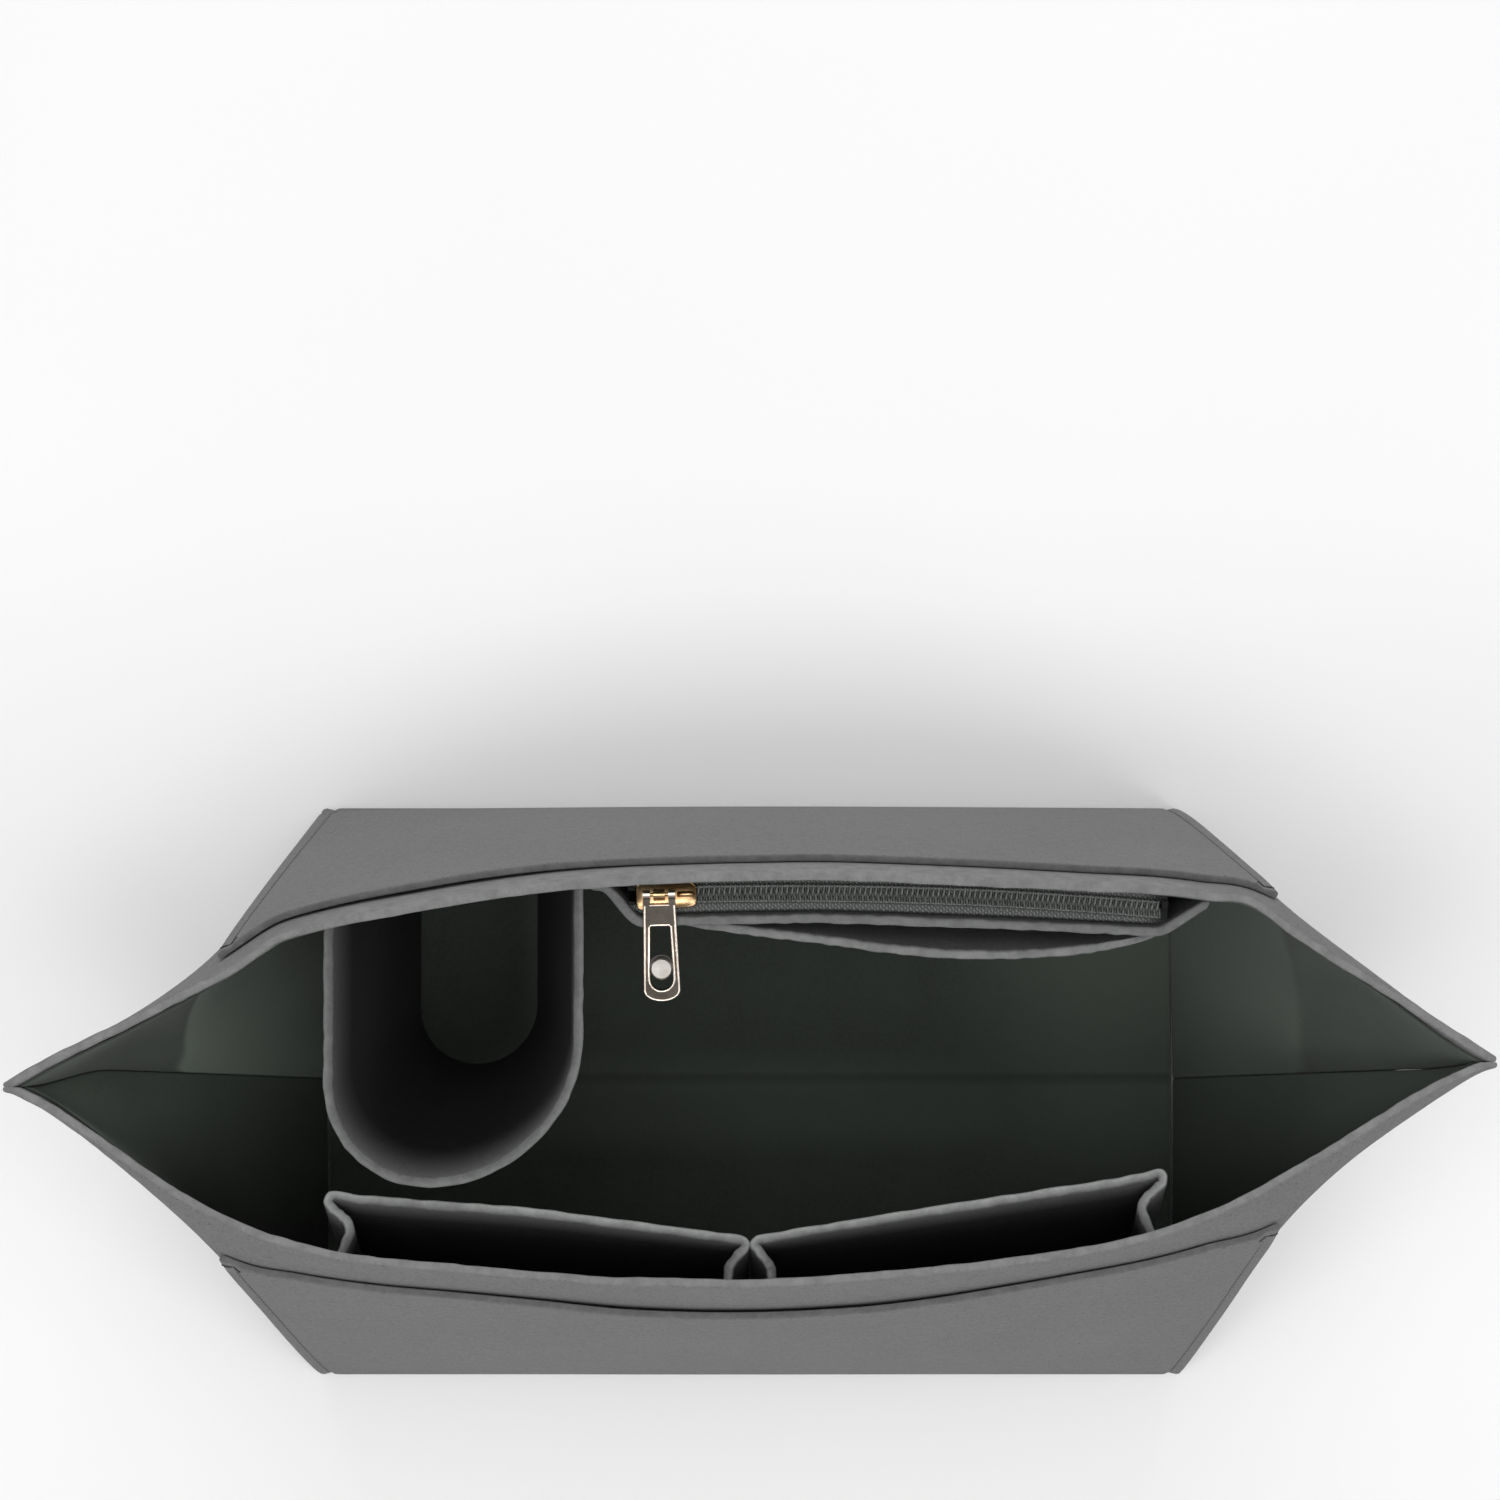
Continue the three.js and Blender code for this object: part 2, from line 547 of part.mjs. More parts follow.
function buildPockets() {
  addPiece(insert, 'front_outer_pocket', outerPocket(FRONT, FRONT_POCKET_DROP, FRONT_POCKET_RISE), feltGrey);
  addPiece(insert, 'back_outer_pocket', outerPocket(BACK, BACK_POCKET_DROP, 0), feltGrey);
  const holderLevels = spread(FLOOR + HOLDER_FOOT, HOLDER_TOP, 6);
  addPiece(insert, 'bottle_holder', standingStrip(BACK, holderLevels, holderPath, true), pocketGrey);
  const pleatLevels = spread(FLOOR + GAP, PLEAT_TOP, 5);
  for (const [name, hand] of [['front_pocket_left', -1], ['front_pocket_right', 1]]) {
    const strip = standingStrip(FRONT, pleatLevels, (z) => pleatPath(hand, z), true);
    addPiece(insert, name, strip, pocketGrey);
  }
  const zipLevels = spread(ZIP_PANEL_FOOT, ZIP_PANEL_TOP, 5);
  addPiece(insert, 'zip_pocket_panel', standingStrip(BACK, zipLevels, zipPanelPath, false), pocketGrey);
  const slipLevels = spread(SLIP_FOOT, SLIP_TOP, 5);
  addPiece(insert, 'back_slip_pocket', standingStrip(BACK, slipLevels, slipPath, false), pocketGrey);
}

// Circle that the chain follows: through three points at an even distance from the lining.
function chainCircle() {
  const line = liningLine(BACK, ZIP_LEVEL);
  const [a, b, c] = [ZIP_LEFT, (ZIP_LEFT + ZIP_RIGHT) / 2, ZIP_RIGHT]
    .map((x) => new THREE.Vector2(x, line(x) - ZIP_SETBACK));
  const ab = b.clone().sub(a);
  const ac = c.clone().sub(a);
  const twice = 2 * ab.cross(ac);
  const centre = new THREE.Vector2(
    (ac.y * ab.lengthSq() - ab.y * ac.lengthSq()) / twice,
    (ab.x * ac.lengthSq() - ac.x * ab.lengthSq()) / twice,
  ).add(a);
  return { centre, radius: centre.distanceTo(a) };
}

const CHAIN = chainCircle();

// Angle of the chain at x, from straight back, turning to the right.
function chainAngle(x) {
  return Math.asin((x - CHAIN.centre.x) / CHAIN.radius);
}

// Point beside the chain: positive distances lie towards the wall.
function besideChain(angle, distance) {
  const reach = CHAIN.radius + distance;
  return new THREE.Vector2(Math.sin(angle), Math.cos(angle)).multiplyScalar(reach).add(CHAIN.centre);
}

// Flat tape from the chain's edge to the wall or to the zip panel.
function tapeOutline(hand) {
  const line = liningLine(BACK, ZIP_LEVEL + TAPE / 2);
  const xs = spread(ZIP_LEFT, ZIP_RIGHT, 24);
  const chainEdge = xs.map((x) => besideChain(chainAngle(x), hand * TAPE_EDGE));
  const sewnEdge = xs.map((x) => {
    const near = hand > 0 ? GAP : zipPanelReach(x, ZIP_LEVEL) - FELT / 2 - GAP - sewnSlack(x);
    return new THREE.Vector2(x, line(x) - near);
  });
  return new THREE.Shape([...chainEdge, ...sewnEdge.reverse()]);
}

// Extra room for the tape where the panel turns towards the wall.
function sewnSlack(x) {
  const slope = (zipPanelReach(x + 1, ZIP_LEVEL) - zipPanelReach(x - 1, ZIP_LEVEL)) / 2;
  return (FELT / 2) * (Math.hypot(1, slope) - 1);
}

// One coil: a sewn spine with a comb of teeth that reach between those of the other coil.
function coilOutline(hand, startX, endX) {
  const start = chainAngle(startX);
  const end = chainAngle(endX);
  const pitch = COIL_PITCH / CHAIN.radius;
  const count = Math.floor((end - start) / pitch) - 1;
  const first = start + pitch * (hand > 0 ? 0.5 : 1);
  const tooth = (middle, half, distance) => besideChain(middle + half / CHAIN.radius, hand * distance);
  const comb = Array.from({ length: count }, (_, i) => first + i * pitch).flatMap((middle) => [
    tooth(middle, -TOOTH_WIDTH / 2, TAPE_EDGE),
    tooth(middle, TOOTH_TAPER - TOOTH_WIDTH / 2, -TOOTH_BITE),
    tooth(middle, TOOTH_WIDTH / 2 - TOOTH_TAPER, -TOOTH_BITE),
    tooth(middle, TOOTH_WIDTH / 2, TAPE_EDGE),
  ]);
  const ends = [start, end].map((angle) => besideChain(angle, hand * TAPE_EDGE));
  const spine = spread(end, start, 24).map((angle) => besideChain(angle, hand * (TAPE_EDGE + COIL_SPINE)));
  return new THREE.Shape([ends[0], ...comb, ends[1], ...spine]);
}

// Small clip across the chain's edge, between two distances from the centre line.
function stopOutline(x, from, to) {
  const half = STOP_LENGTH / 2 / CHAIN.radius;
  const angle = chainAngle(x);
  const corners = [[-half, from], [half, from], [half, to], [-half, to]];
  return new THREE.Shape(corners.map(([turn, distance]) => besideChain(angle + turn, distance)));
}

const SLIDER_REST_X = ZIP_LEFT + STOP_LENGTH + 2 * GAP + SLIDER_LENGTH / 2;

function buildChain() {
  const tapeFoot = ZIP_LEVEL - TAPE / 2;
  const coilFoot = ZIP_LEVEL + COIL_FOOT;
  const coilStart = SLIDER_REST_X - SLIDER_LENGTH / 2 + WEDGE_INSET + WEDGE_LENGTH + 2 * GAP;
  const coilEnd = ZIP_RIGHT - STOP_LENGTH - 2 * GAP;
  for (const [name, hand] of [['rear', 1], ['front', -1]]) {
    const tape = plate(tapeOutline(hand), tapeFoot, tapeFoot + TAPE);
    addPiece(insert, `zipper_tape_${name}`, tape, tapeGrey);
    const coil = plate(coilOutline(hand, coilStart, coilEnd), coilFoot, coilFoot + COIL_HEIGHT);
    addPiece(insert, `zipper_coil_${name}`, coil, coilGrey);
    const reach = TAPE_EDGE + COIL_SPINE;
    const clip = stopOutline(ZIP_LEFT + STOP_LENGTH / 2, hand * TAPE_EDGE, hand * reach);
    addPiece(insert, `zipper_top_stop_${name}`, plate(clip, coilFoot, coilFoot + STOP_HEIGHT), coilGrey);
  }
  const reach = TAPE_EDGE + COIL_SPINE;
  const bar = stopOutline(ZIP_RIGHT - STOP_LENGTH / 2, -reach, reach);
  addPiece(insert, 'zipper_end_stop', plate(bar, coilFoot, coilFoot + STOP_HEIGHT), coilGrey);
}

// Plate that narrows from its left end to its right end, with round corners.
function taperedOutline(length, wide, narrow, round) {
  const a = length / 2;
  const shape = new THREE.Shape();
  shape.moveTo(round - a, -wide);
  shape.lineTo(a - round, -narrow);
  shape.quadraticCurveTo(a, -narrow, a, round - narrow);
  shape.lineTo(a, narrow - round);
  shape.quadraticCurveTo(a, narrow, a - round, narrow);
  shape.lineTo(round - a, wide);
  shape.quadraticCurveTo(-a, wide, -a, wide - round);
  shape.lineTo(-a, round - wide);
  shape.quadraticCurveTo(-a, -wide, round - a, -wide);
  return shape;
}

// Wedge that parts the two coils: a slim leaf between the plates at the open end.
function wedgeOutline() {
  const start = WEDGE_INSET - SLIDER_LENGTH / 2;
  const shape = new THREE.Shape();
  shape.moveTo(start, 0);
  shape.quadraticCurveTo(start, WEDGE_HALF, start + WEDGE_LENGTH / 3, WEDGE_HALF);
  shape.lineTo(start + WEDGE_LENGTH, 0);
  shape.lineTo(start + WEDGE_LENGTH / 3, -WEDGE_HALF);
  shape.quadraticCurveTo(start, -WEDGE_HALF, start, 0);
  return shape;
}

// Round-topped lug that carries the pull's pin.
function lugOutline() {
  const pivot = SLIDER_TOP + PIVOT_HEIGHT;
  const shape = new THREE.Shape();
  shape.moveTo(-LUG_RADIUS - LUG_FLARE, SLIDER_TOP - SLIDER_PLATE / 2);
  shape.lineTo(LUG_RADIUS + LUG_FLARE, SLIDER_TOP - SLIDER_PLATE / 2);
  shape.lineTo(LUG_RADIUS, pivot);
  shape.absarc(0, pivot, LUG_RADIUS, 0, Math.PI);
  return shape;
}

function sliderBody() {
  const past = 2 * SLIDER_LENGTH;
  const block = taperedOutline(SLIDER_LENGTH, SLIDER_WIDE, SLIDER_NARROW, SLIDER_ROUND);
  const grow = past / SLIDER_LENGTH;
  const flare = ((SLIDER_WIDE - SLIDER_NARROW) * (grow - 1)) / 2;
  const channelWide = SLIDER_WIDE - SLIDER_LIP + flare;
  const channelNarrow = SLIDER_NARROW - SLIDER_LIP - flare;
  const channel = taperedOutline(past, channelWide, channelNarrow, GAP);
  const slot = rectangle(-past, -past, past, past);
  const pivot = SLIDER_TOP + PIVOT_HEIGHT;
  const ridgeFrom = PIVOT_X + PULL_TOP_HALF + 2 * GAP;
  const ridge = rectangle(ridgeFrom, -RIDGE_WIDTH / 2, SLIDER_LENGTH / 2 - RIDGE_INSET, RIDGE_WIDTH / 2);
  const lug = barAlongX(lugOutline(), PIVOT_X - LUG_WIDTH / 2, PIVOT_X + LUG_WIDTH / 2);
  const bore = barAlongX(disc(PIN_RADIUS + PIN_PLAY, 0, pivot), -past, past);
  const sunk = SLIDER_PLATE / 2;
  const solid = toSolid(plate(block, SLIDER_BOTTOM, SLIDER_TOP, SLIDER_BEVEL))
    .subtract(toSolid(plate(channel, CHANNEL_FLOOR, CHANNEL_ROOF)))
    .subtract(toSolid(plate(slot, CHANNEL_FLOOR, TAPE / 2 + GAP)))
    .add(toSolid(plate(wedgeOutline(), CHANNEL_FLOOR - sunk, CHANNEL_ROOF + sunk)))
    .add(toSolid(plate(ridge, SLIDER_TOP - sunk, SLIDER_TOP + RIDGE_HEIGHT, SLIDER_BEVEL)))
    .add(toSolid(lug))
    .subtract(toSolid(bore));
  return fromSolid(solid);
}

// The pull droops until its underside meets the zip panel's edge, or the slider's own edge if that is higher.
function pullDroop() {
  const pivot = SLIDER_TOP + PIVOT_HEIGHT;
  const panelEdge = ZIP_PANEL_REACH + FELT - ZIP_SETBACK;
  const droopOver = (distance, drop) =>
    Math.acos(PULL_THICK / 2 / Math.hypot(distance, drop)) - Math.atan2(distance, drop);
  const onPanel = droopOver(panelEdge, pivot - ZIP_PANEL_RISE - GAP);
  const onSlider = droopOver(SLIDER_WIDE, pivot - SLIDER_TOP - GAP);
  return Math.min(onPanel, onSlider);
}

function pullOutline() {
  const straight = PULL_LENGTH - PULL_END;
  const shape = new THREE.Shape();
  shape.moveTo(-PULL_TOP_HALF, 0);
  shape.lineTo(-PULL_END_HALF, -straight);
  shape.absellipse(0, -straight, PULL_END_HALF, PULL_END, Math.PI, 2 * Math.PI);
  shape.lineTo(PULL_TOP_HALF, 0);
  shape.lineTo(FORK_HALF, 0);
  shape.lineTo(FORK_HALF, -FORK_DEPTH);
  shape.lineTo(-FORK_HALF, -FORK_DEPTH);
  shape.lineTo(-FORK_HALF, 0);
  shape.closePath();
  const end = WINDOW_TOP + WINDOW_LENGTH;
  const hole = new THREE.Path();
  hole.moveTo(-WINDOW_TOP_HALF, -WINDOW_TOP);
  hole.lineTo(WINDOW_TOP_HALF, -WINDOW_TOP);
  hole.lineTo(WINDOW_END_HALF, WINDOW_END_HALF - end);
  hole.absarc(0, WINDOW_END_HALF - end, WINDOW_END_HALF, 0, -Math.PI, true);
  hole.closePath();
  shape.holes.push(hole);
  return shape;
}

// Flat frame with a fork at its top, whose two knuckles turn on the pin.
function pullTab() {
  const knuckle = (from, to) => toSolid(barAlongX(disc(LUG_RADIUS), from, to));
  const past = 2 * PULL_TOP_HALF;
  const solid = toSolid(plate(pullOutline(), -PULL_THICK / 2, PULL_THICK / 2, PULL_BEVEL))
    .add(knuckle(-PULL_TOP_HALF, -FORK_HALF))
    .add(knuckle(FORK_HALF, PULL_TOP_HALF))
    .subtract(toSolid(barAlongX(disc(PIN_RADIUS + PIN_PLAY), -past, past)));
  return fromSolid(solid);
}

// Plain round stud, riveted through the pull's window with a flange on each face.
function pullStud() {
  const face = PULL_THICK / 2 + GAP;
  const profile = [
    [0, -face - STUD_BACK],
    [STUD_RADIUS, -face - STUD_BACK],
    [STUD_RADIUS, -face],
    [STUD_NECK, -face],
    [STUD_NECK, face],
    [STUD_RADIUS, face],
    [STUD_RADIUS, face + STUD_FRONT - STUD_BEVEL],
    [STUD_RADIUS - STUD_BEVEL, face + STUD_FRONT],
    [0, face + STUD_FRONT],
  ].map(([r, z]) => new THREE.Vector2(r, z));
  return new THREE.LatheGeometry(profile, 24).rotateX(Math.PI / 2);
}

// The slider rides on a group that turns about the centre of the chain's circle.
function buildSlider() {
  const travel = new THREE.Group();
  travel.position.set(CHAIN.centre.x, CHAIN.centre.y, ZIP_LEVEL);
  travel.rotation.z = -chainAngle(SLIDER_REST_X);
  insert.add(travel);
  const slider = new THREE.Group();
  slider.position.y = CHAIN.radius;
  travel.add(slider);
  addPiece(slider, 'slider_body', sliderBody(), sliderGold);
  const pull = new THREE.Group();
  pull.position.set(PIVOT_X, 0, SLIDER_TOP + PIVOT_HEIGHT);
  pull.rotation.x = pullDroop();
  slider.add(pull);
  const pin = barAlongX(disc(PIN_RADIUS), -PULL_TOP_HALF, PULL_TOP_HALF);
  addPiece(pull, 'pull_pin', pin, sliderGold);
  addPiece(pull, 'pull_tab', pullTab(), pullGold);
  const stud = addPiece(pull, 'pull_stud', pullStud(), pullGold);
  stud.position.y = -STUD_AT;
}

buildShell();
buildPockets();
buildChain();
buildSlider();

export default insert;
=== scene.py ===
"""Looks of the felt purse organizer insert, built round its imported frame."""
import json
import math

import bpy
import numpy as np
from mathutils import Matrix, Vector


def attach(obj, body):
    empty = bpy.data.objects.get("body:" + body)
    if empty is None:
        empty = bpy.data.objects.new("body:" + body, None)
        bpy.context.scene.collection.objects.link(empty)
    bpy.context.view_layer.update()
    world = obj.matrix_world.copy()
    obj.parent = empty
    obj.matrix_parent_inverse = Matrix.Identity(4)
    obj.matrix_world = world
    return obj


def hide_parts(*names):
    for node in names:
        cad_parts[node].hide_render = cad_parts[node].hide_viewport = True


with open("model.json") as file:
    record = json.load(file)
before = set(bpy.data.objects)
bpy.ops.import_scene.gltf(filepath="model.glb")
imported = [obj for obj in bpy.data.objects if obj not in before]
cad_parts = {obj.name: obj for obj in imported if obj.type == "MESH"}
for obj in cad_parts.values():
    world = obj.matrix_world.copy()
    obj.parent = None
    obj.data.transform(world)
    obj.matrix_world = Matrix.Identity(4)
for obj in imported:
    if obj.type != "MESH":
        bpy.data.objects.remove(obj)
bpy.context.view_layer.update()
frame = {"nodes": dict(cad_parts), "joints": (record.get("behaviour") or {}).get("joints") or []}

# Signs of y at the two walls, and of x at the two ends
FRONT, BACK = -1, 1
LEFT, RIGHT = -1, 1

# Sizes of the cloth, base, walls and rim, in millimetres, close to those of the solids
FELT, LINING, GAP = 3.0, 0.9, 0.3
HALF_LENGTH, HALF_DEPTH, BASE_CORNER, BASE_SEAT = 150.0, 95.5, 3.0, 0.6
WALL_HEIGHT, FACE_BELLY, SEAM_BELLY = 210.0, 1.6, 1.1
CORNER_BELLY = {(FRONT, LEFT): 1.25, (FRONT, RIGHT): 1.12, (BACK, LEFT): 0.93, (BACK, RIGHT): 1.29}
HALF_RIM, RIM_DEPTH, RIM_BOW, RIM_KNEE = 235.0, 130.0, 700.0, 170.0
RIM_FLANK, RIM_BLEND, RIM_SKEW, RIM_SHIFT = 0.61, 5.0, 3.9, 1.5
RIM_FLARE, RIM_FLARE_FROM, RIM_FLARE_AT = {FRONT: 6.0, BACK: 10.0}, 50.0, 195.0
SEAM_AT = HALF_LENGTH + HALF_DEPTH
FLARE_THREAD = HALF_LENGTH + HALF_DEPTH * (RIM_FLARE_AT - RIM_KNEE) / (HALF_RIM - RIM_KNEE)
LINING_OUTER = LINING_FOOT = FELT + GAP
LINING_INNER = LINING_OUTER + LINING
FLOOR = LINING_INNER

# Depth of each wall from the side seam's line at distances along the bag: the flanks' widest reach below
# the rim, and the rim itself, which curls in over them
FLANKS = {
    (FRONT, LEFT): [(155, 57.5), (172, 46.5), (197, 29.5), (223, 10.5), (235, 1)],
    (FRONT, RIGHT): [(155, 55), (170, 45), (195, 28), (221, 14.5), (236, 1.5)],
    (BACK, LEFT): [(155, 41), (172, 31), (197, 20.5), (223, 8.5), (235, 1)],
    (BACK, RIGHT): [(155, 59.5), (170, 51), (195, 33.5), (221, 12.5), (236, 1)],
}
RIMS = {
    (FRONT, LEFT): [(60, 62.5), (100, 58), (147, 49), (178, 34.5), (210, 14), (235, 1)],
    (FRONT, RIGHT): [(60, 62.5), (90, 59), (142, 47), (173, 32.5), (214, 9), (236, 1)],
    (BACK, LEFT): [(155, 42), (170, 34), (197, 21), (223, 8), (235, 1)],
    (BACK, RIGHT): [(155, 55.5), (170, 45.5), (195, 27.5), (221, 10.5), (236, 1)],
}


def curve_through(points):
    return np.polynomial.Polynomial.fit(*np.transpose(points), len(points) - 1)


FLANK_CURVES = {key: curve_through(points) for key, points in FLANKS.items()}
RIM_CURVES = {key: curve_through(points) for key, points in RIMS.items()}
FLANK_FROM, FLANK_AT, FLANK_POWER = 144.0, 176.0, 3
RIM_FROM, RIM_AT, CURL_POWER = {FRONT: 60.0, BACK: 144.0}, {FRONT: 105.0, BACK: 174.0}, 14

# Near the rim both walls lie face to face at the side seams: how near, how softly, from what height
SEAM_LIMIT, SEAM_SOFT, SEAM_FROM = 0.9, 1.0, 0.8
FELT_SLIT, LINING_SLIT = -0.04, 0.12
SEAM_BASE, SEAM_BEND = 4.0, 0.72
LINING_DROP_FACE, LINING_DROP_TIP = 7.0, 1.0
LINING_DROP_END = {FRONT: (5.5, 8.5), BACK: (1.5, 3.5)}
FOLD_FROM, FOLD_SLOPE, FOLD_LIFT = {LEFT: 99.0, RIGHT: 88.0}, 1.06, 4.2
# Painted light on the back lining below its fold, at the left and right ends
FOLD_LIGHT_PAINT = {LEFT: 1.0, RIGHT: 0.36}

# Pockets
POCKET_DROP = {FRONT: 33.0, BACK: 16.0}
POCKET_RISE, POCKET_RISE_SPAN = {FRONT: 14.0, BACK: 0.0}, 95.0
POCKET_FELT, POCKET_SEAT, POCKET_EDGE, STITCH_INSET = 2.5, 0.25, 148.6, 3.4
HOLDER_X, HOLDER_DROP, HOLDER_FOOT, HOLDER_BULGE = -93.5, 17.8, 12.0, 2.6
HOLDER_MOUTH, HOLDER_BASE = (82.0, 90.0), (46.0, 84.0)
PLEAT_CORNERS = [(130.0, 0.0), (125.0, 13.0), (138.5, 22.0), (0.1, 15.0), (6.7, 6.4), (7.2, 0.0)]
PLEAT_STRETCH = {LEFT: 1.0, RIGHT: 0.98}
WALL_TOUCH = 0.05
PLEAT_DROP, PLEAT_FOOT_SHARE, PLEAT_BOW, PLEAT_BOW_FROM = 21.8, 0.7, 3.2, 10.0
FOLD_RADII, FOLD_RUNS, FOLD_LEG_SHARE = (4.5, 2.2, 1.5, 4.0), (10, 9, 70, 9, 5), 0.55
ZIP_DROP, ZIP_SETBACK, ZIP_LEFT, ZIP_RIGHT = 23.8, 6.5, -38.5, 132.0
ZIP_PANEL_RISE, ZIP_PANEL_HEIGHT = 3.0, 127.0
ZIP_PANEL_MARGIN, ZIP_PANEL_LEG, ZIP_PANEL_SEAT = (9.5, 13.0), (14.5, 15.0), 0.5
ZIP_PANEL_TAPER, ZIP_PANEL_TAPER_SPAN, ZIP_PANEL_TURN = 0.8, (40, 125), 0.15
SLIP_DROP, SLIP_HEIGHT = 7.0, 108.0
SLIP_LEFT, SLIP_RIGHT, SLIP_GAPE, SLIP_BOW = -24.0, 131.0, 8.6, 1.3
END_ROUND, SLIP_TAPER, END_PINCH = 1.5, 26.0, 0.05

# Zip chain, pull and slider
TAPE, TAPE_EDGE, LOOP_PITCH = 0.8, 1.8, 1.65
PULL_THICK, PULL_LENGTH, PULL_END, PULL_TOP_HALF, PULL_END_HALF = 1.5, 35.0, 3.8, 5.1, 5.9
WINDOW_TOP, WINDOW_END, WINDOW_HALF = 10.3, 31.2, (3.05, 3.6)
BORDER, BORDER_RISE = 0.45, 0.2
SLIDER_WIDE, SLIDER_NARROW, SLIDER_LENGTH, SLIDER_ROOM = 4.8, 4.1, 19.0, 1.8
PIVOT_X, PIVOT_HEIGHT = -2.3, 3.0
CROWN, CROWN_INSET, CROWN_SUNK, BRIDGE = 0.8, 0.3, 0.4, 0.9
ZIP_PANEL_REACH = ZIP_SETBACK + SLIDER_WIDE + SLIDER_ROOM

# Threads of felt across a wall, from seam to seam
THREADS = 313
U = np.linspace(-SEAM_AT, SEAM_AT, THREADS)


def smoothstep(x, a, b):
    t = np.clip((np.asarray(x, float) - a) / (b - a), 0, 1)
    return t * t * (3 - 2 * t)


def lerp(a, b, t):
    return a + (b - a) * t


def soft_max(a, b, soft):
    return (a + b + np.hypot(a - b, soft)) / 2


def soft_min(a, b, soft):
    return (a + b - np.hypot(a - b, soft)) / 2


def speckle(i, j, seed):
    """A number from 0 to 1 for each point of a lattice."""
    n = np.sin(i * 127.1 + j * 311.7 + seed * 74.7) * 43758.5453
    return n - np.floor(n)


def soft_noise(x, y, seed):
    """Smooth noise from -1 to 1 over the plane, the same on every run."""
    x, y = np.broadcast_arrays(np.asarray(x, float), np.asarray(y, float))
    i, j = np.floor(x), np.floor(y)
    a, b = x - i, y - j
    a, b = a * a * (3 - 2 * a), b * b * (3 - 2 * b)
    low = lerp(speckle(i, j, seed), speckle(i + 1, j, seed), a)
    high = lerp(speckle(i, j + 1, seed), speckle(i + 1, j + 1, seed), a)
    return 2 * lerp(low, high, b) - 1


# Walls

def rim_depth(x):
    face = RIM_DEPTH / 2 - x * x / (2 * RIM_BOW)
    flank = RIM_FLANK * (HALF_RIM - np.abs(x))
    return np.maximum(0, soft_min(face, flank, RIM_BLEND))


def base_plan(u):
    past = np.abs(u) - HALF_LENGTH
    turn = (np.clip(past / BASE_CORNER, -1, 1) + 1) * math.pi / 4
    x = HALF_LENGTH - BASE_CORNER + BASE_CORNER * np.sin(turn)
    y = HALF_DEPTH - BASE_CORNER + BASE_CORNER * np.cos(turn)
    x = np.where(past <= -BASE_CORNER, np.abs(u), x)
    y = np.where(past >= BASE_CORNER, HALF_DEPTH - past, y)
    return np.stack([np.sign(u) * x, y], -1)


def rim_plan(u):
    past = np.abs(u) - HALF_LENGTH
    near = RIM_KNEE * (1 + past / HALF_LENGTH)
    far = RIM_KNEE + (HALF_RIM - RIM_KNEE) * past / HALF_DEPTH
    x = np.sign(u) * np.where(past < 0, near, far)
    return np.stack([x, rim_depth(x)], -1)


def rim_height(u):
    u = np.asarray(u, float)
    return np.sqrt(WALL_HEIGHT ** 2 - ((base_plan(u) - rim_plan(u)) ** 2).sum(-1))


def flank_reach(side, u, x, lean):
    """How far a wall's flank stands out from the straight line between base and rim."""
    away = np.abs(x)
    seam_share = 1 - smoothstep(np.abs(u), FLARE_THREAD, SEAM_AT)
    widest = np.where(side * x < 0, 0.0, RIM_FLARE[side])
    return widest * smoothstep(away, RIM_FLARE_FROM, RIM_FLARE_AT) * lean * seam_share


def flank_trim(side, u, lean):
    """What the flanks' reach and the curl of the rim add to a wall."""
    x = rim_plan(u)[..., 0]
    away = np.abs(x)

    def measured(curves):
        return np.where(x < 0, curves[side, LEFT](away), curves[side, RIGHT](away))

    plain = rim_depth(x) + flank_reach(side, u, x, 1.0)
    reach = (measured(FLANK_CURVES) - plain) * smoothstep(away, FLANK_FROM, FLANK_AT)
    curl = (measured(RIM_CURVES) - plain - reach) * smoothstep(away, RIM_FROM[side], RIM_AT[side])
    return reach * lean ** FLANK_POWER + curl * lean ** CURL_POWER


def rise_share(side, u, z):
    """How far a thread has gone from the base's outline to the rim's."""
    away = np.abs(u)
    corner = np.where(u < 0, CORNER_BELLY[side, LEFT], CORNER_BELLY[side, RIGHT])
    belly = np.where(away < HALF_LENGTH, lerp(FACE_BELLY, corner, (away / HALF_LENGTH) ** 2),
                     lerp(corner, SEAM_BELLY, (away - HALF_LENGTH) / HALF_DEPTH))
    return (z / rim_height(u)) ** belly


def skew(u, x, lean):
    """How far back the bag leans: the rim is turned a little, and the side seams stay upright below it."""
    turned = lean * (RIM_SKEW * x / HALF_RIM + RIM_SHIFT * (x / HALF_RIM) ** 4)
    upright = smoothstep(np.abs(u), HALF_LENGTH, SEAM_AT) * (1 - smoothstep(lean, SEAM_BEND, 1))
    return turned + (SEAM_BASE - turned) * upright


def wall_place(side, u, z):
    lean = rise_share(side, u, z)
    plan = lerp(base_plan(u), rim_plan(u), lean[..., None])
    x = plan[..., 0]
    depth = plan[..., 1] + flank_reach(side, u, x, lean) + flank_trim(side, u, lean)
    depth = lerp(depth, soft_max(depth, SEAM_LIMIT, SEAM_SOFT), smoothstep(lean, SEAM_FROM, 1))
    return np.stack([x, side * depth + skew(u, x, lean), z], -1)


def seam_line(hand, z):
    """Where a side seam runs: y at the left or right end."""
    lean = (z / rim_height(SEAM_AT)) ** SEAM_BELLY
    return skew(SEAM_AT, hand * lerp(HALF_LENGTH, HALF_RIM, lean), lean)


# Slow and quick waves in the walls: height, length along a wall and up it, place in the noise and seed
WAVES = [(0.75, 52, 80, 40, 3, 5), (0.3, 19, 40, 90, 0, 8)]
WAVE_POWER, WAVE_FADE = 1.6, (195, 238)
THREAD_STEP = 0.5


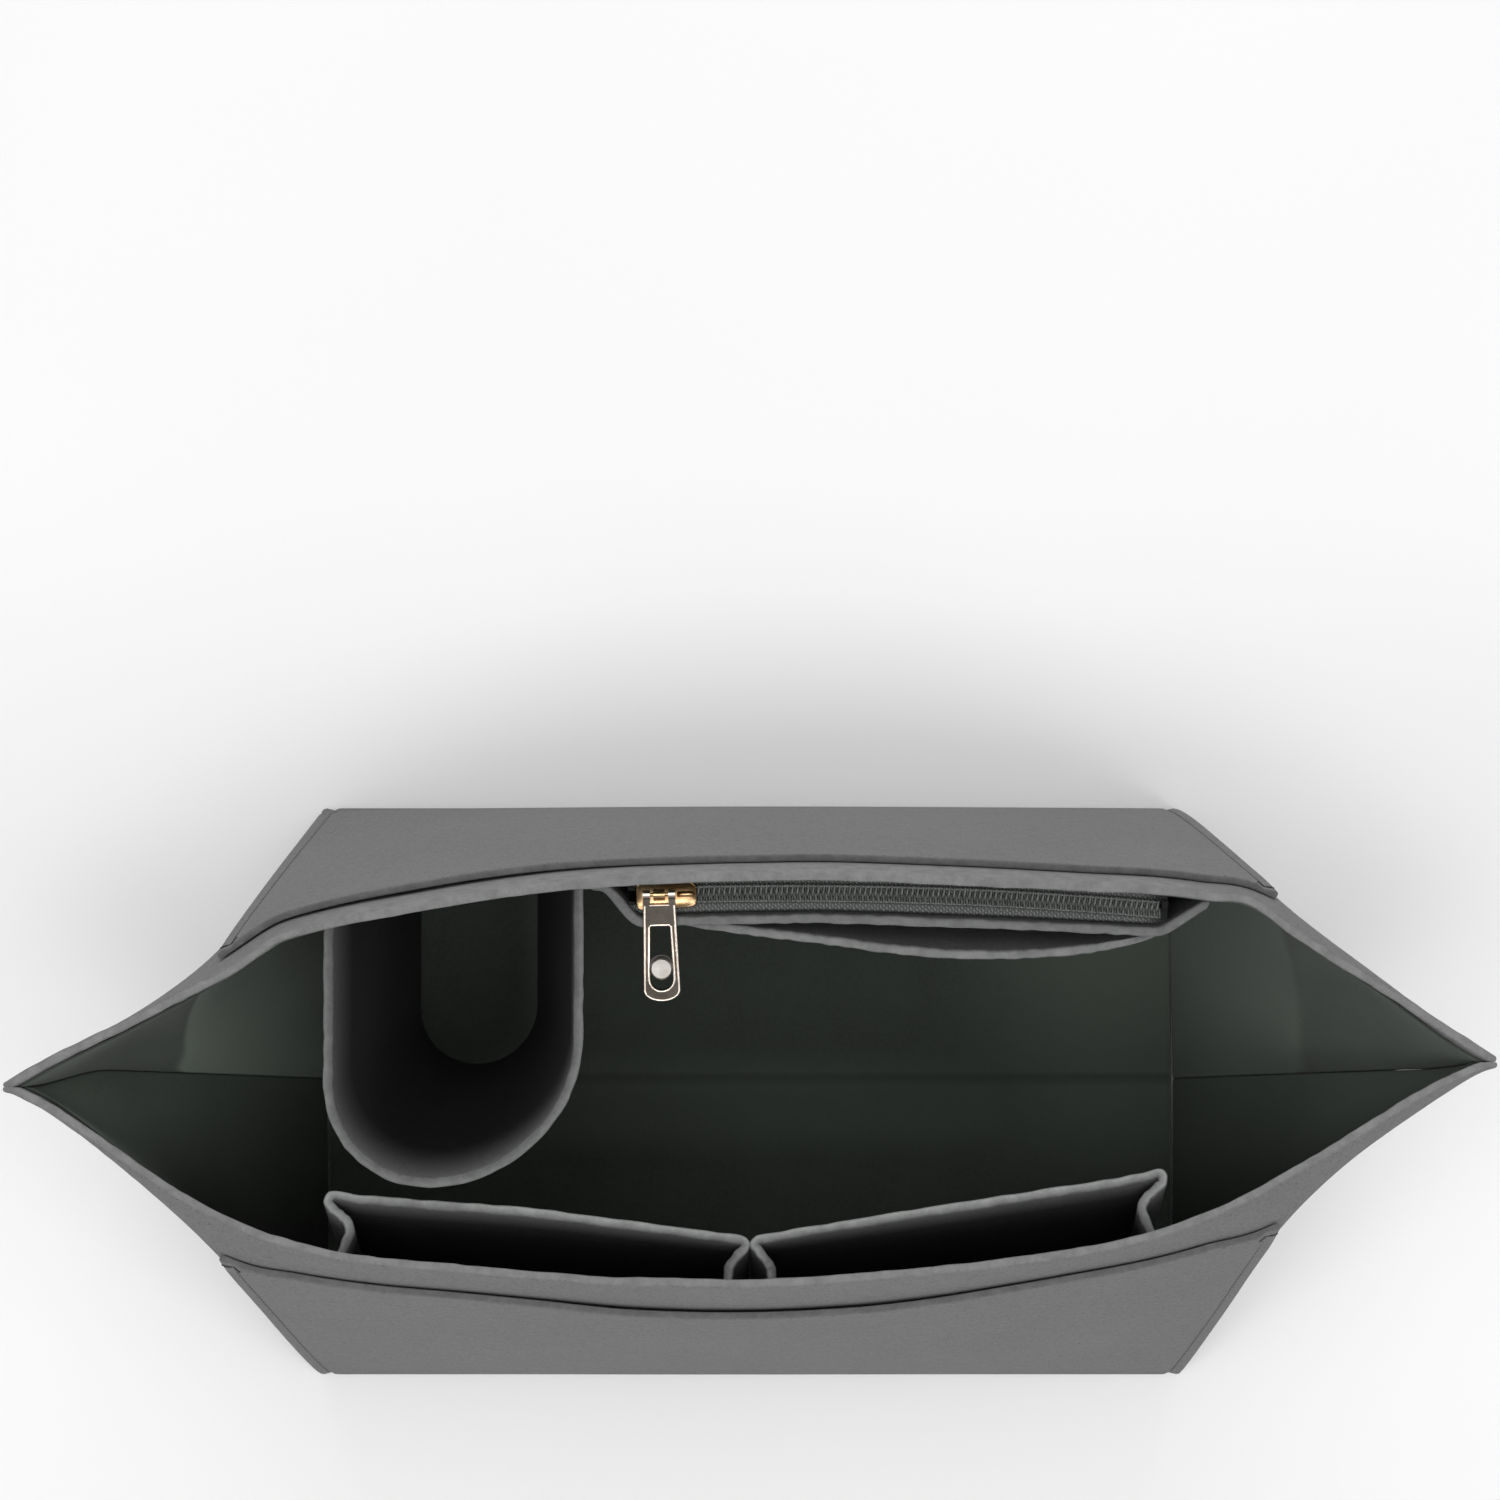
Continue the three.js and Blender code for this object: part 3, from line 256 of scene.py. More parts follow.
def wall_face(side, u, z):
    """Points of a wall's outer face, and the unit vectors into the bag."""
    u = np.asarray(u, float)
    z = np.broadcast_to(np.asarray(z, float), u.shape)
    after = wall_place(side, np.minimum(u + THREAD_STEP, SEAM_AT), z)
    along = after - wall_place(side, np.maximum(u - THREAD_STEP, -SEAM_AT), z)
    into = np.stack([side * along[..., 1], -side * along[..., 0], np.zeros_like(z)], -1)
    into /= np.linalg.norm(into, axis=-1, keepdims=True)
    loose = (z / WALL_HEIGHT) ** WAVE_POWER * (1 - smoothstep(np.abs(u), *WAVE_FADE))
    sway = sum(high * soft_noise(u / long + at_u, z / tall + at_z, seed + side)
               for high, long, tall, at_u, at_z, seed in WAVES)
    return wall_place(side, u, z) + into * (sway * loose)[..., None], into


# Columns of a wall's mesh: a few close ones at each seam, where the sheet's edge is rounded
END_COLUMNS = np.array([0.0, 0.12, 0.35, 0.75, 1.3, 2.2])
END_SHARE = np.array([0.6, 0.76, 0.88, 0.97, 1.0, 1.0])
END_REACH = 3.6
COLUMNS = 312
COLUMN_AT = np.linspace(-SEAM_AT, SEAM_AT, COLUMNS)
COLUMN_SHARE = np.concatenate([END_SHARE, np.ones(COLUMNS - 2 * len(END_SHARE)), END_SHARE[::-1]])


def lengths_along(path):
    """Distance of each of a path's points from its start."""
    return np.concatenate([[0], np.cumsum(np.linalg.norm(np.diff(path, axis=0), axis=1))])


def points_at(at, along, points):
    return np.stack([np.interp(at, along, points[:, k]) for k in range(3)], -1)


def resample(row):
    along = lengths_along(row)
    middle = np.linspace(END_REACH, along[-1] - END_REACH, COLUMNS - 2 * len(END_COLUMNS))
    return points_at(np.concatenate([END_COLUMNS, middle, along[-1] - END_COLUMNS[::-1]]), along, row)


def wall_row(side, inward, z, slit, trim):
    """A row round a wall from seam to seam. What lies past the seams is clipped off, or pressed flat on
    them.
    """
    face, into = wall_face(side, U, z)
    row = face + into * np.broadcast_to(inward, U.shape)[:, None]
    seam = np.where(U < 0, seam_line(LEFT, face[0, 2]), seam_line(RIGHT, face[-1, 2]))
    room = side * (row[:, 1] - seam) - slit
    if not trim:
        row[:, 1] += side * np.maximum(-room, 0)
        return resample(row)
    inside = np.flatnonzero(room > 0)
    first, last = inside[0], inside[-1]
    parts = [row[first:last + 1]]
    if first > 0:
        share = room[first - 1] / (room[first - 1] - room[first])
        parts.insert(0, lerp(row[first - 1], row[first], share)[None])
    if last < len(row) - 1:
        share = room[last + 1] / (room[last + 1] - room[last])
        parts.append(lerp(row[last + 1], row[last], share)[None])
    return resample(np.concatenate(parts))


LINE_HALF, LINE_POINTS = HALF_LENGTH + 2, 260


def lining_line(side, z):
    """Level line along the inner face of the lining: y at x."""
    u = np.linspace(-LINE_HALF, LINE_HALF, LINE_POINTS)
    face, into = wall_face(side, u, z)
    row = face + into * LINING_INNER
    return lambda x: np.interp(x, row[:, 0], row[:, 1])


# Meshes

MILLIMETRE, SHARP_FROM = 0.001, math.radians(50)


def in_scene(name, data):
    thing = bpy.data.objects.new(name, data)
    bpy.context.scene.collection.objects.link(thing)
    return thing


def new_object(name, verts, faces, material, attributes=None):
    mesh = bpy.data.meshes.new(name)
    mesh.from_pydata((np.asarray(verts) * MILLIMETRE).tolist(), [], [list(map(int, f)) for f in faces])
    mesh.polygons.foreach_set("use_smooth", np.ones(len(mesh.polygons), bool))
    mesh.set_sharp_from_angle(angle=SHARP_FROM)
    for key, values in (attributes or {}).items():
        layer = mesh.attributes.new(key, "FLOAT", "POINT")
        layer.data.foreach_set("value", np.asarray(values, np.float32))
    mesh.materials.append(material)
    mesh.update()
    return in_scene(name, mesh)


def grid_faces(index, flip=False):
    corners = [index[:-1, :-1], index[:-1, 1:], index[1:, 1:], index[1:, :-1]]
    quads = np.stack(corners, -1).reshape(-1, 4)
    return quads[:, ::-1] if flip else quads


def sheet_object(name, near, far, material, cut_and_painted_light, inner=(0, 1), **extra):
    """Closed sheet between two grids of points, with marks of its raw edges and of where light or shade is
    painted on it, and of the face in a pocket.
    """
    near, far, cut_and_painted_light = np.array(near), np.array(far), np.array(cut_and_painted_light)
    index = np.arange(cut_and_painted_light.size).reshape(cut_and_painted_light.shape)
    count = cut_and_painted_light.size
    verts = np.concatenate([near.reshape(-1, 3), far.reshape(-1, 3)])
    faces = [grid_faces(index), grid_faces(index + count, True)]
    for a, flip in ((index[0], False), (index[-1], True), (index[:, 0], True), (index[:, -1], False)):
        quads = np.stack([a[:-1], a[:-1] + count, a[1:] + count, a[1:]], -1)
        faces.append(quads[:, ::-1] if flip else quads)
    faces = np.concatenate(faces)
    tri = verts[faces]
    volume = np.einsum("ij,ij->i", tri[:, 0], np.cross(tri[:, 1], tri[:, 2])).sum()
    if volume < 0:
        faces = faces[:, ::-1]
    attributes = {"cut_and_painted_light": np.tile(cut_and_painted_light.ravel(), 2), "inner": np.repeat(inner, count)}
    attributes.update({key: np.tile(np.ravel(values), 2) for key, values in extra.items()})
    return new_object(name, verts, faces, material, attributes)


# A cut edge: where its rounding has points, how full and how deep it is, and how far it frays
ROUND_AT = np.array([0.3, 0.55, 0.75, 0.89, 0.97])
ROUND_POWER, ROUND_DEPTH = 3.2, 0.32
FRAY = 0.22


def rounded(values, thick, low=True, high=True):
    """Values along a sheet with a share of its thickness at each: it narrows towards its raw edges."""
    values = np.asarray(values, float)
    depth = thick * ROUND_DEPTH
    share = (1 - ROUND_AT ** ROUND_POWER) ** (1 / ROUND_POWER)
    inner = values[(values > values[0] + depth * low) & (values < values[-1] - depth * high)]
    inset = depth * (1 - ROUND_AT)
    first = (values[0] + inset[::-1], share[::-1]) if low else (values[:1], np.ones(1))
    last = (values[-1] - inset, share) if high else (values[-1:], np.ones(1))
    parts, shares = zip(first, (inner, np.ones(len(inner))), last)
    return np.concatenate(parts), np.concatenate(shares)


# The fold of the lining across each end: where it starts and fades, and its section
FOLD_SPAN, FOLD_FADE, FOLD_RISE, FOLD_TOP = (150, 185), (228, 244), (40, 95), (0.72, 0.93)
FOLD_ROUND, FOLD_WIDTH = 0.9, 19


def past_fold(u, z):
    """Distance past the soft fold of the lining across each end, from the side seam up to the back rim."""
    start = np.where(u < 0, FOLD_FROM[LEFT], FOLD_FROM[RIGHT])
    return (z - start - FOLD_SLOPE * (SEAM_AT - np.abs(u))) / math.hypot(1, FOLD_SLOPE)


def fold_lift(u, z):
    """How far the fold makes the lining stand off its wall."""
    away = np.abs(u)
    ends = smoothstep(away, *FOLD_SPAN) * (1 - smoothstep(away, *FOLD_FADE)) * smoothstep(z, *FOLD_RISE)
    below_rim = 1 - smoothstep(z / rim_height(u), *FOLD_TOP)
    return FOLD_LIFT * np.exp(-np.hypot(past_fold(u, z), FOLD_ROUND) / FOLD_WIDTH) * ends * below_rim


# Wear of the walls: ripples and fray of the rim. Painted light on a strip along the back rim, painted shade
# on the lining's top edge, and painted light on the lining
WALL_ROWS = 61
RIPPLES, RIPPLE_AT, RIPPLE_POWER = [(0.3, 23, 31), (0.15, 5, 33)], 7, 12
FRAY_LENGTH, FRAY_PLACES, FRAY_SEED, FRAY_POWER = 3.4, (0.5, 7.5), 35, 24
BACK_RIM_LIGHT, BACK_RIM_LIGHT_LEVEL, BACK_RIM_LIGHT_REACH = {FRONT: 0.0, BACK: 0.5}, (186, 196), (120, 150)
LINING_TOP_SHADE_REACH, FOLD_EDGE, CORNER_REACH = (150, 175), (-2, 2), (148, 152)
FLANK_LIGHT_PAINT, FLANK_LIGHT_PAINT_REACH = 0.8, (175, 232)


def edge_and_painted_light_marks(side, is_felt, share, level):
    """Marks on a wall: on felt its raw edges at the rim and seams, and painted light on a strip along the
    back rim; on lining painted shade along its seams and along its top edge on the flanks.
    """
    away = np.abs(COLUMN_AT)
    if not is_felt:
        return np.maximum(1 - COLUMN_SHARE, (1 - share) * smoothstep(away, *LINING_TOP_SHADE_REACH))
    rim_light = smoothstep(level, *BACK_RIM_LIGHT_LEVEL) * (1 - smoothstep(away, *BACK_RIM_LIGHT_REACH))
    return np.maximum(1 - np.minimum(share, COLUMN_SHARE), BACK_RIM_LIGHT[side] * rim_light)


def nap_marks(folded, level):
    """Where painted light makes the lining paler: below its fold near the back corners, towards the tips at
    the front.
    """
    away = np.abs(COLUMN_AT)
    if not folded:
        return FLANK_LIGHT_PAINT * smoothstep(away, *FLANK_LIGHT_PAINT_REACH)
    below = (1 - smoothstep(past_fold(COLUMN_AT, level), *FOLD_EDGE)) * smoothstep(away, *CORNER_REACH)
    return below * np.where(COLUMN_AT < 0, FOLD_LIGHT_PAINT[LEFT], FOLD_LIGHT_PAINT[RIGHT])


def wall_sheet(name, side, inward, thick, foot, drop, material):
    """One wall of felt or lining."""
    is_felt = inward == 0
    folded = side == BACK and not is_felt
    slit = FELT_SLIT if is_felt else LINING_SLIT
    heights, shares = rounded(np.linspace(0, WALL_HEIGHT, WALL_ROWS), thick, low=False)
    near, far, cut_and_painted_light, nap = [], [], [], []
    top = rim_height(U) - drop
    ripple = sum(high * soft_noise(U / long + RIPPLE_AT, 0.0, seed + side) for high, long, seed in RIPPLES)
    fray = [is_felt * FRAY * soft_noise(U / FRAY_LENGTH, place, FRAY_SEED + side) for place in FRAY_PLACES]
    for height, share in zip(heights / WALL_HEIGHT, shares):
        z = foot + (top - foot) * height + ripple * height ** RIPPLE_POWER
        middle = inward + thick / 2 + (fold_lift(U, z) if folded else 0.0)
        outer, inner = (share * thick / 2 + worn * height ** FRAY_POWER for worn in fray)
        a = wall_row(side, middle - outer, z, slit, not is_felt)
        b = wall_row(side, middle + inner, z, slit, not is_felt)
        centre = (a + b) / 2
        near.append(centre + (a - centre) * COLUMN_SHARE[:, None])
        far.append(centre + (b - centre) * COLUMN_SHARE[:, None])
        level = np.interp(COLUMN_AT, U, z)
        cut_and_painted_light.append(edge_and_painted_light_marks(side, is_felt, share, level))
        if not is_felt:
            nap.append(nap_marks(folded, level))
    painted_light = {} if is_felt else {"nap": nap}
    return sheet_object(name, near, far, material, cut_and_painted_light, **painted_light)


# Materials

# Colour of painted shade: inside the pockets, and on the zip tape under the coil and the felt
POCKET_SHADE_PAINT = (0.006, 0.007, 0.006)


class Nodes:
    """Short names for building a material's nodes."""

    def __init__(self, name):
        self.material = bpy.data.materials.new(name)
        self.material.use_nodes = True
        self.tree = self.material.node_tree
        self.shader = self.tree.nodes["Principled BSDF"]
        self.place = self.add("ShaderNodeTexCoord").outputs["Object"]

    def feed(self, socket, value):
        if isinstance(value, bpy.types.NodeSocket):
            self.tree.links.new(value, socket)
        else:
            socket.default_value = value

    def add(self, kind, inputs=None, **settings):
        """A node with its settings, and with values or links on its inputs."""
        node = self.tree.nodes.new(kind)
        for key, value in settings.items():
            setattr(node, key, value)
        for key, value in (inputs or {}).items():
            self.feed(node.inputs[key], value)
        return node

    def noise(self, scale, detail=3.0, rough=0.55, stretch=None):
        place = self.place
        if stretch is not None:
            place = self.add("ShaderNodeMapping", {"Vector": place, "Scale": stretch}).outputs["Vector"]
        inputs = {"Vector": place, "Scale": scale, "Detail": detail, "Roughness": rough}
        return self.add("ShaderNodeTexNoise", inputs).outputs["Fac"]

    def bands(self, direction, scale, distortion):
        inputs = {"Vector": self.place, "Scale": scale, "Distortion": distortion}
        return self.add("ShaderNodeTexWave", inputs, bands_direction=direction).outputs["Fac"]

    def ramp(self, value, low, high, to_low=0.0, to_high=1.0):
        inputs = {"Value": value, "From Min": low, "From Max": high, "To Min": to_low, "To Max": to_high}
        return self.add("ShaderNodeMapRange", inputs).outputs["Result"]

    def math(self, operation, a, b=0.0):
        return self.add("ShaderNodeMath", {0: a, 1: b}, operation=operation).outputs[0]

    def attribute(self, name):
        return self.add("ShaderNodeAttribute", attribute_name=name).outputs["Fac"]

    def mix(self, share, a, b):
        node = self.add("ShaderNodeMix", {"Factor": share}, data_type="RGBA")
        for key, value in (("A", a), ("B", b)):
            socket = next(s for s in node.inputs if s.name == key and s.type == "RGBA")
            self.feed(socket, value if isinstance(value, bpy.types.NodeSocket) else (*value, 1))
        return next(s for s in node.outputs if s.type == "RGBA")

    def height(self):
        return self.add("ShaderNodeSeparateXYZ", {0: self.place}).outputs["Z"]

    def bump(self, heights, distance, strength=1.0):
        normal = None
        for value, depth in zip(heights, distance):
            inputs = {"Strength": strength, "Distance": depth, "Height": value}
            if normal is not None:
                inputs["Normal"] = normal
            normal = self.add("ShaderNodeBump", inputs).outputs["Normal"]
        self.feed(self.shader.inputs["Normal"], normal)

    def finish(self, colour, roughness, **sockets):
        self.feed(self.shader.inputs["Base Color"], colour)
        self.feed(self.shader.inputs["Roughness"], roughness)
        for key, value in sockets.items():
            self.shader.inputs[key.replace("_", " ")].default_value = value
        return self.material


def grey(value, tint=(1.0, 1.0, 1.0)):
    return tuple(value * t for t in tint)


def felt(name, level, tint=(1, 1, 1), edge_and_light_factor=1.0, depth=None):
    """Pressed felt: matted fibres, faint clouds of lighter and darker tone, tiny dark specks, and raw edges
    whose tone is partly the felt's own and partly painted light and shade. Inside a pocket, painted shade
    darkens it downwards from the mouth.
    """
    n = Nodes(name)
    clouds = n.ramp(n.noise(16, 4, 0.6), 0.3, 0.7)
    colour = n.mix(clouds, grey(level * 0.94, tint), grey(level * 1.05, tint))
    matted = n.ramp(n.noise(210, 4, 0.65), 0.34, 0.66)
    colour = n.mix(n.math("MULTIPLY", matted, 0.4), colour, grey(level * 0.8, tint))
    fibre = n.noise(620, 5, 0.75)
    colour = n.mix(n.ramp(fibre, 0.38, 0.68, 0.0, 0.5), colour, grey(level * 1.42, tint))
    specks = n.ramp(n.noise(1050, 2, 0.5), 0.6, 0.7, 0.0, 0.6)
    colour = n.mix(specks, colour, grey(level * 0.42, tint))
    # Raw edges and the marked strip on the back rim get the edge tone: the felt's own paler raw edge
    # together with painted light, or painted shade where the factor is under one
    edge = n.ramp(n.attribute("cut_and_painted_light"), 0.04, 0.5, 0.0, 0.8)
    edge_and_light_level = level * edge_and_light_factor
    colour = n.mix(edge, colour, n.mix(matted, grey(edge_and_light_level * 1.16, tint), grey(edge_and_light_level * 0.82, tint)))
    # Painted shade down the inner face of a pocket: part of the shade colour at the mouth, all of it from
    # the reach's depth below
    if depth is not None:
        mouth, reach, shadow, dark = depth
        pocket_shade = n.ramp(n.height(), mouth - reach, mouth, 1.0, shadow)
        pocket_shade = n.math("MULTIPLY", pocket_shade, n.attribute("inner"))
        colour = n.mix(pocket_shade, colour, dark)
    hair = n.noise(430, 6, 0.8, stretch=(1.0, 0.35, 1.0))
    n.bump([n.noise(260, 3, 0.6), hair, fibre], [0.0007, 0.0006, 0.0004], 0.6)
    rough = n.ramp(fibre, 0.3, 0.7, 0.88, 1.0)
    return n.finish(colour, rough, Specular_IOR_Level=0.15, Sheen_Weight=0.04, Sheen_Roughness=0.6)


def lining_cloth(name, level, painted_light, sheen=0.1):
    """Brushed dark lining with faint brush marks and a fine pile. It is painted paler, as light, where its
    light marks say, and painted darker, as shade, along its seams, edges and crease.
    """
    n = Nodes(name)
    base = grey(level, (0.92, 1.08, 0.92))
    brush = n.ramp(n.noise(22, 5, 0.65, stretch=(1.0, 1.0, 0.45)), 0.36, 0.66)
    colour = n.mix(brush, grey(0.86, base), grey(1.12, base))
    nap = n.noise(900, 4, 0.7)
    colour = n.mix(n.ramp(nap, 0.38, 0.7, 0.0, 0.5), colour, grey(1.35, base))
    # Painted light: paler where the lining's light marks say, by the given factor
    colour = n.mix(n.ramp(n.attribute("nap"), 0, 1, 0, 0.8), colour, grey(painted_light, base))
    # Painted shade: darker along the seams, edges, crease and flank top edge that its marks give
    colour = n.mix(n.ramp(n.attribute("cut_and_painted_light"), 0.05, 0.6, 0.0, 0.75), colour, grey(0.2, base))
    n.bump([n.noise(120, 4, 0.6), nap], [0.0006, 0.0003], 0.5)
    rough = n.ramp(brush, 0, 1, 0.82, 0.95)
    return n.finish(colour, rough, Specular_IOR_Level=2 * sheen, Sheen_Weight=sheen, Sheen_Roughness=0.5)


def woven_tape():
    """Twill tape, with painted shade where its marks say that it lies under the coil and the felt, and
    towards its right end.
    """
    n = Nodes("zip_tape")
    weave = n.math("MULTIPLY", n.bands("DIAGONAL", 420, 1.5), n.bands("X", 330, 0.8))
    colour = n.mix(n.ramp(weave, 0.05, 0.7), (0.085, 0.09, 0.087), (0.23, 0.235, 0.23))
    colour = n.mix(n.ramp(n.attribute("cut_and_painted_light"), 0, 1, 0, 0.9), colour, POCKET_SHADE_PAINT)
    n.bump([weave], [0.0003], 0.7)
    return n.finish(colour, 0.85, Specular_IOR_Level=0.25, Sheen_Weight=0.05)


def nylon(name, level, low, high, gloss):
    """Dark nylon whose roughness wanders from low to high."""
    n = Nodes(name)
    tone = n.noise(700, 2, 0.5)
    deep, pale = grey(level, (0.92, 1.04, 0.93)), grey(level * 1.8, (0.93, 1.0, 0.93))
    colour = n.mix(n.ramp(tone, 0.35, 0.65), deep, pale)
    n.bump([n.noise(1500, 2, 0.5)], [0.0001], 0.4)
    return n.finish(colour, n.ramp(tone, 0.3, 0.7, low, high), Specular_IOR_Level=gloss)


def gold(name, light, deep, low, high):
    """Polished plating with faint polishing marks."""
    n = Nodes(name)
    marks = n.noise(240, 5, 0.7, stretch=(1.0, 6.0, 6.0))
    wear = n.ramp(n.noise(160, 3, 0.6), 0.35, 0.7)
    colour = n.mix(wear, deep, light)
    n.bump([marks], [0.00002], 0.25)
    return n.finish(colour, n.ramp(marks, 0.3, 0.7, low, high), Metallic=1.0)


def thread_cotton(name, level):
    n = Nodes(name)
    twist = n.noise(1900, 3, 0.6)
    colour = n.mix(n.ramp(twist, 0.35, 0.65), grey(level * 0.75), grey(level * 1.25))
    n.bump([twist], [0.0001], 0.6)
    return n.finish(colour, 0.75, Specular_IOR_Level=0.3, Sheen_Weight=0.08)


POCKET_TINT = (0.98, 1.0, 0.985)
# One grey felt in copies whose levels and edge tones differ as painted light and shade: lighter on the front
# pockets and the holder, darker on the zip panel and the slip pocket, darker edges on the outer pockets. The
# front pockets and the holder also get painted shade down their insides.
FELT_GREY = felt("felt_grey", 0.168, edge_and_light_factor=1.35)
FELT_OUTER = felt("felt_outer_pocket", 0.165, edge_and_light_factor=0.8)
FELT_POCKET = felt("felt_pocket", 0.185, POCKET_TINT, 1.8, (0.1865, 0.015, 0.35, POCKET_SHADE_PAINT))
FELT_ZIP = felt("felt_zip_panel", 0.15, POCKET_TINT, 1.38)
FELT_SLIP = felt("felt_slip_pocket", 0.15, POCKET_TINT, 1.8)
FELT_HOLDER = felt("felt_holder", 0.18, POCKET_TINT, 1.06, (0.190, 0.036, 0.3, POCKET_SHADE_PAINT))
# One dark lining in three copies whose levels differ as painted light and shade: darkest and least glossy at
# the front, in painted shade, lightest at the back. Each is painted paler by its own factor where its light
# marks say.
LINING_FRONT = lining_cloth("lining_front", 0.038, 5.2, 0.03)
LINING_BACK = lining_cloth("lining_back", 0.098, 3.6)
LINING_FLOOR = lining_cloth("lining_floor", 0.05, 2.4)
ZIP_TAPE = woven_tape()
ZIP_COIL = nylon("zip_coil", 0.085, 0.26, 0.4, 0.5)
# The stops in a near-black, barely glossy copy of the coil's nylon: painted shade, so that they sink into
# the dark at the chain's ends
STOP_NYLON = nylon("zip_stop", 0.012, 0.5, 0.65, 0.05)
SLIDER_GOLD = gold("slider_gold", (0.6, 0.42, 0.24), (0.4, 0.23, 0.1), 0.22, 0.32)
PULL_GOLD = gold("pull_gold", (0.72, 0.64, 0.56), (0.56, 0.48, 0.41), 0.05, 0.1)
# The pull's raised borders in a paler copy of its gold: a painted highlight along its edges
BORDER_HIGHLIGHT_GOLD = gold("pull_border_highlight_gold", (0.92, 0.84, 0.74), (0.8, 0.7, 0.6), 0.2, 0.3)
STUD_SATIN = gold("pull_stud_satin", (0.56, 0.53, 0.5), (0.36, 0.34, 0.31), 0.3, 0.4)
STITCH_GREY = thread_cotton("stitch_grey", 0.075)
STITCH_DARK = thread_cotton("stitch_dark", 0.03)


def dress(piece, slot, *nodes, body="insert"):
    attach(piece, body)
    if nodes:
        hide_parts(*nodes)
    return piece


# Shell

FLOOR_GRID, FLOOR_ROUND, FLOOR_SWELL, SWELL_LENGTH, SWELL_SEED = (150, 96), 1.0, 0.12, 30, 4
# Crease across the floor lining: its depth, place and half width, and the strength of the painted shade
# along it
CREASE, CREASE_AT, CREASE_HALF, CREASE_SHADE = 0.6, 4.0, 1.1, 0.5
# Painted light on the floor lining: a patch on the right from the middle backwards, and a fainter strip
# across the middle
LIT_PATCH_X, LIT_PATCH_Y, STRIP_AT, STRIP_REACH, STRIP_SHARE = (55, 125), (-40, 0), -4, (6, 22), 0.5
LINING_TURN, LINING_TIP = (140, 190), (222, 244)


def floor_sheet(name, inward, bottom, top, material, crease=0.0):
    """Flat panel with soft edges, as a grid squeezed to the base's rounded outline."""
    half_x, half_y = HALF_LENGTH - inward, HALF_DEPTH - inward
    thick, middle = top - bottom, (bottom + top) / 2
    xs, sx = rounded(np.linspace(-half_x, half_x, FLOOR_GRID[0]), thick)
    ys, sy = rounded(np.linspace(-half_y, half_y, FLOOR_GRID[1]), thick)
    x, y = np.meshgrid(xs, ys)
    share = np.minimum(sx[None, :], sy[:, None])
    r = max(BASE_CORNER - inward, FLOOR_ROUND)
    over_x = np.maximum(np.abs(x) - (half_x - r), 0)
    over_y = np.maximum(np.abs(y) - (half_y - r), 0)
    at_corner = over_x * over_y > 0
    shrink = np.maximum(over_x, over_y) / np.where(at_corner, np.hypot(over_x, over_y), 1)
    x = np.where(at_corner, np.sign(x) * (half_x - r + over_x * shrink), x)
    y = np.where(at_corner, np.sign(y) * (half_y - r + over_y * shrink), y)
    seam = np.exp(-((y - CREASE_AT) / CREASE_HALF) ** 2)
    swell = bool(crease) * FLOOR_SWELL * soft_noise(x / SWELL_LENGTH, y / SWELL_LENGTH, SWELL_SEED)
    near = np.stack([x, y, middle - share * thick / 2], -1)
    far = np.stack([x, y, middle + share * thick / 2 + swell - crease * seam], -1)
    # Painted light on the floor: the patch and the strip
    strip = STRIP_SHARE * (1 - smoothstep(np.abs(y - STRIP_AT), *STRIP_REACH))
    painted_light = np.maximum(smoothstep(x, *LIT_PATCH_X) * smoothstep(y, *LIT_PATCH_Y), strip)
    # Its raw edges, and painted shade along the crease. On the lining the edges are painted darker, as
    # shade, too.
    cut_and_painted_light = np.maximum(1 - share, CREASE_SHADE * seam * bool(crease))
    return sheet_object(name, near, far, material, cut_and_painted_light, nap=painted_light)


def lining_drop(side):
    """How far the lining ends below the rim: far on the faces, less on the flanks, least at the tips."""
    left, right = LINING_DROP_END[side]
    ends = np.where(U < 0, left, right)
    drop = lerp(LINING_DROP_FACE, ends, smoothstep(np.abs(U), *LINING_TURN))
    return lerp(drop, LINING_DROP_TIP, smoothstep(np.abs(U), *LINING_TIP))


SIDES = ((FRONT, "front"), (BACK, "back"))
LINING_CLOTH = {FRONT: LINING_FRONT, BACK: LINING_BACK}
walls, linings = {}, {}
for side, word in SIDES:
    felt_wall = wall_sheet(f"{word}_wall_felt", side, 0, FELT, 0, 0, FELT_GREY)
    walls[side] = dress(felt_wall, "felt_grey", f"{word}_wall")
for side, word in SIDES:
    cloth_wall = wall_sheet(f"{word}_lining_cloth", side, LINING_OUTER, LINING, LINING_FOOT,
                            lining_drop(side), LINING_CLOTH[side])
    linings[side] = dress(cloth_wall, "lining_green", f"{word}_lining")
base_felt = dress(floor_sheet("base_felt", FELT + BASE_SEAT, 0, FELT, FELT_GREY), "felt_grey", "base_panel")
base_cloth = dress(
    floor_sheet("base_lining_cloth", LINING_INNER + WALL_TOUCH, LINING_FOOT, FLOOR, LINING_FLOOR, CREASE),
    "lining_green", "base_lining")

# Outer pockets

POCKET_GRID, POCKET_SPAN = (240, 90), 180
POCKET_GAPE, GAPE_POWER, GAPE_AT, GAPE_HALF = {FRONT: 0.9, BACK: 0.8}, 3, -90, 52
GROOVE, GROOVE_HALF, FOOT_SEAM = 0.8, 1.1, 4.0
MOUTH_RIPPLE, MOUTH_LENGTH, MOUTH_POWER, MOUTH_SEED = 0.25, 21, 10, 51
POCKET_WAVE, POCKET_WAVE_LENGTH, POCKET_WAVE_SEED = 0.15, 35, 61


def pocket_gape(side, u, t):
    """How far a pocket's mouth stands off its wall: along the whole front, at the left of the back."""
    spread = 1 - (u / HALF_LENGTH) ** 2 if side == FRONT else np.exp(-((u - GAPE_AT) / GAPE_HALF) ** 2)
    return POCKET_GAPE[side] * spread * t ** GAPE_POWER


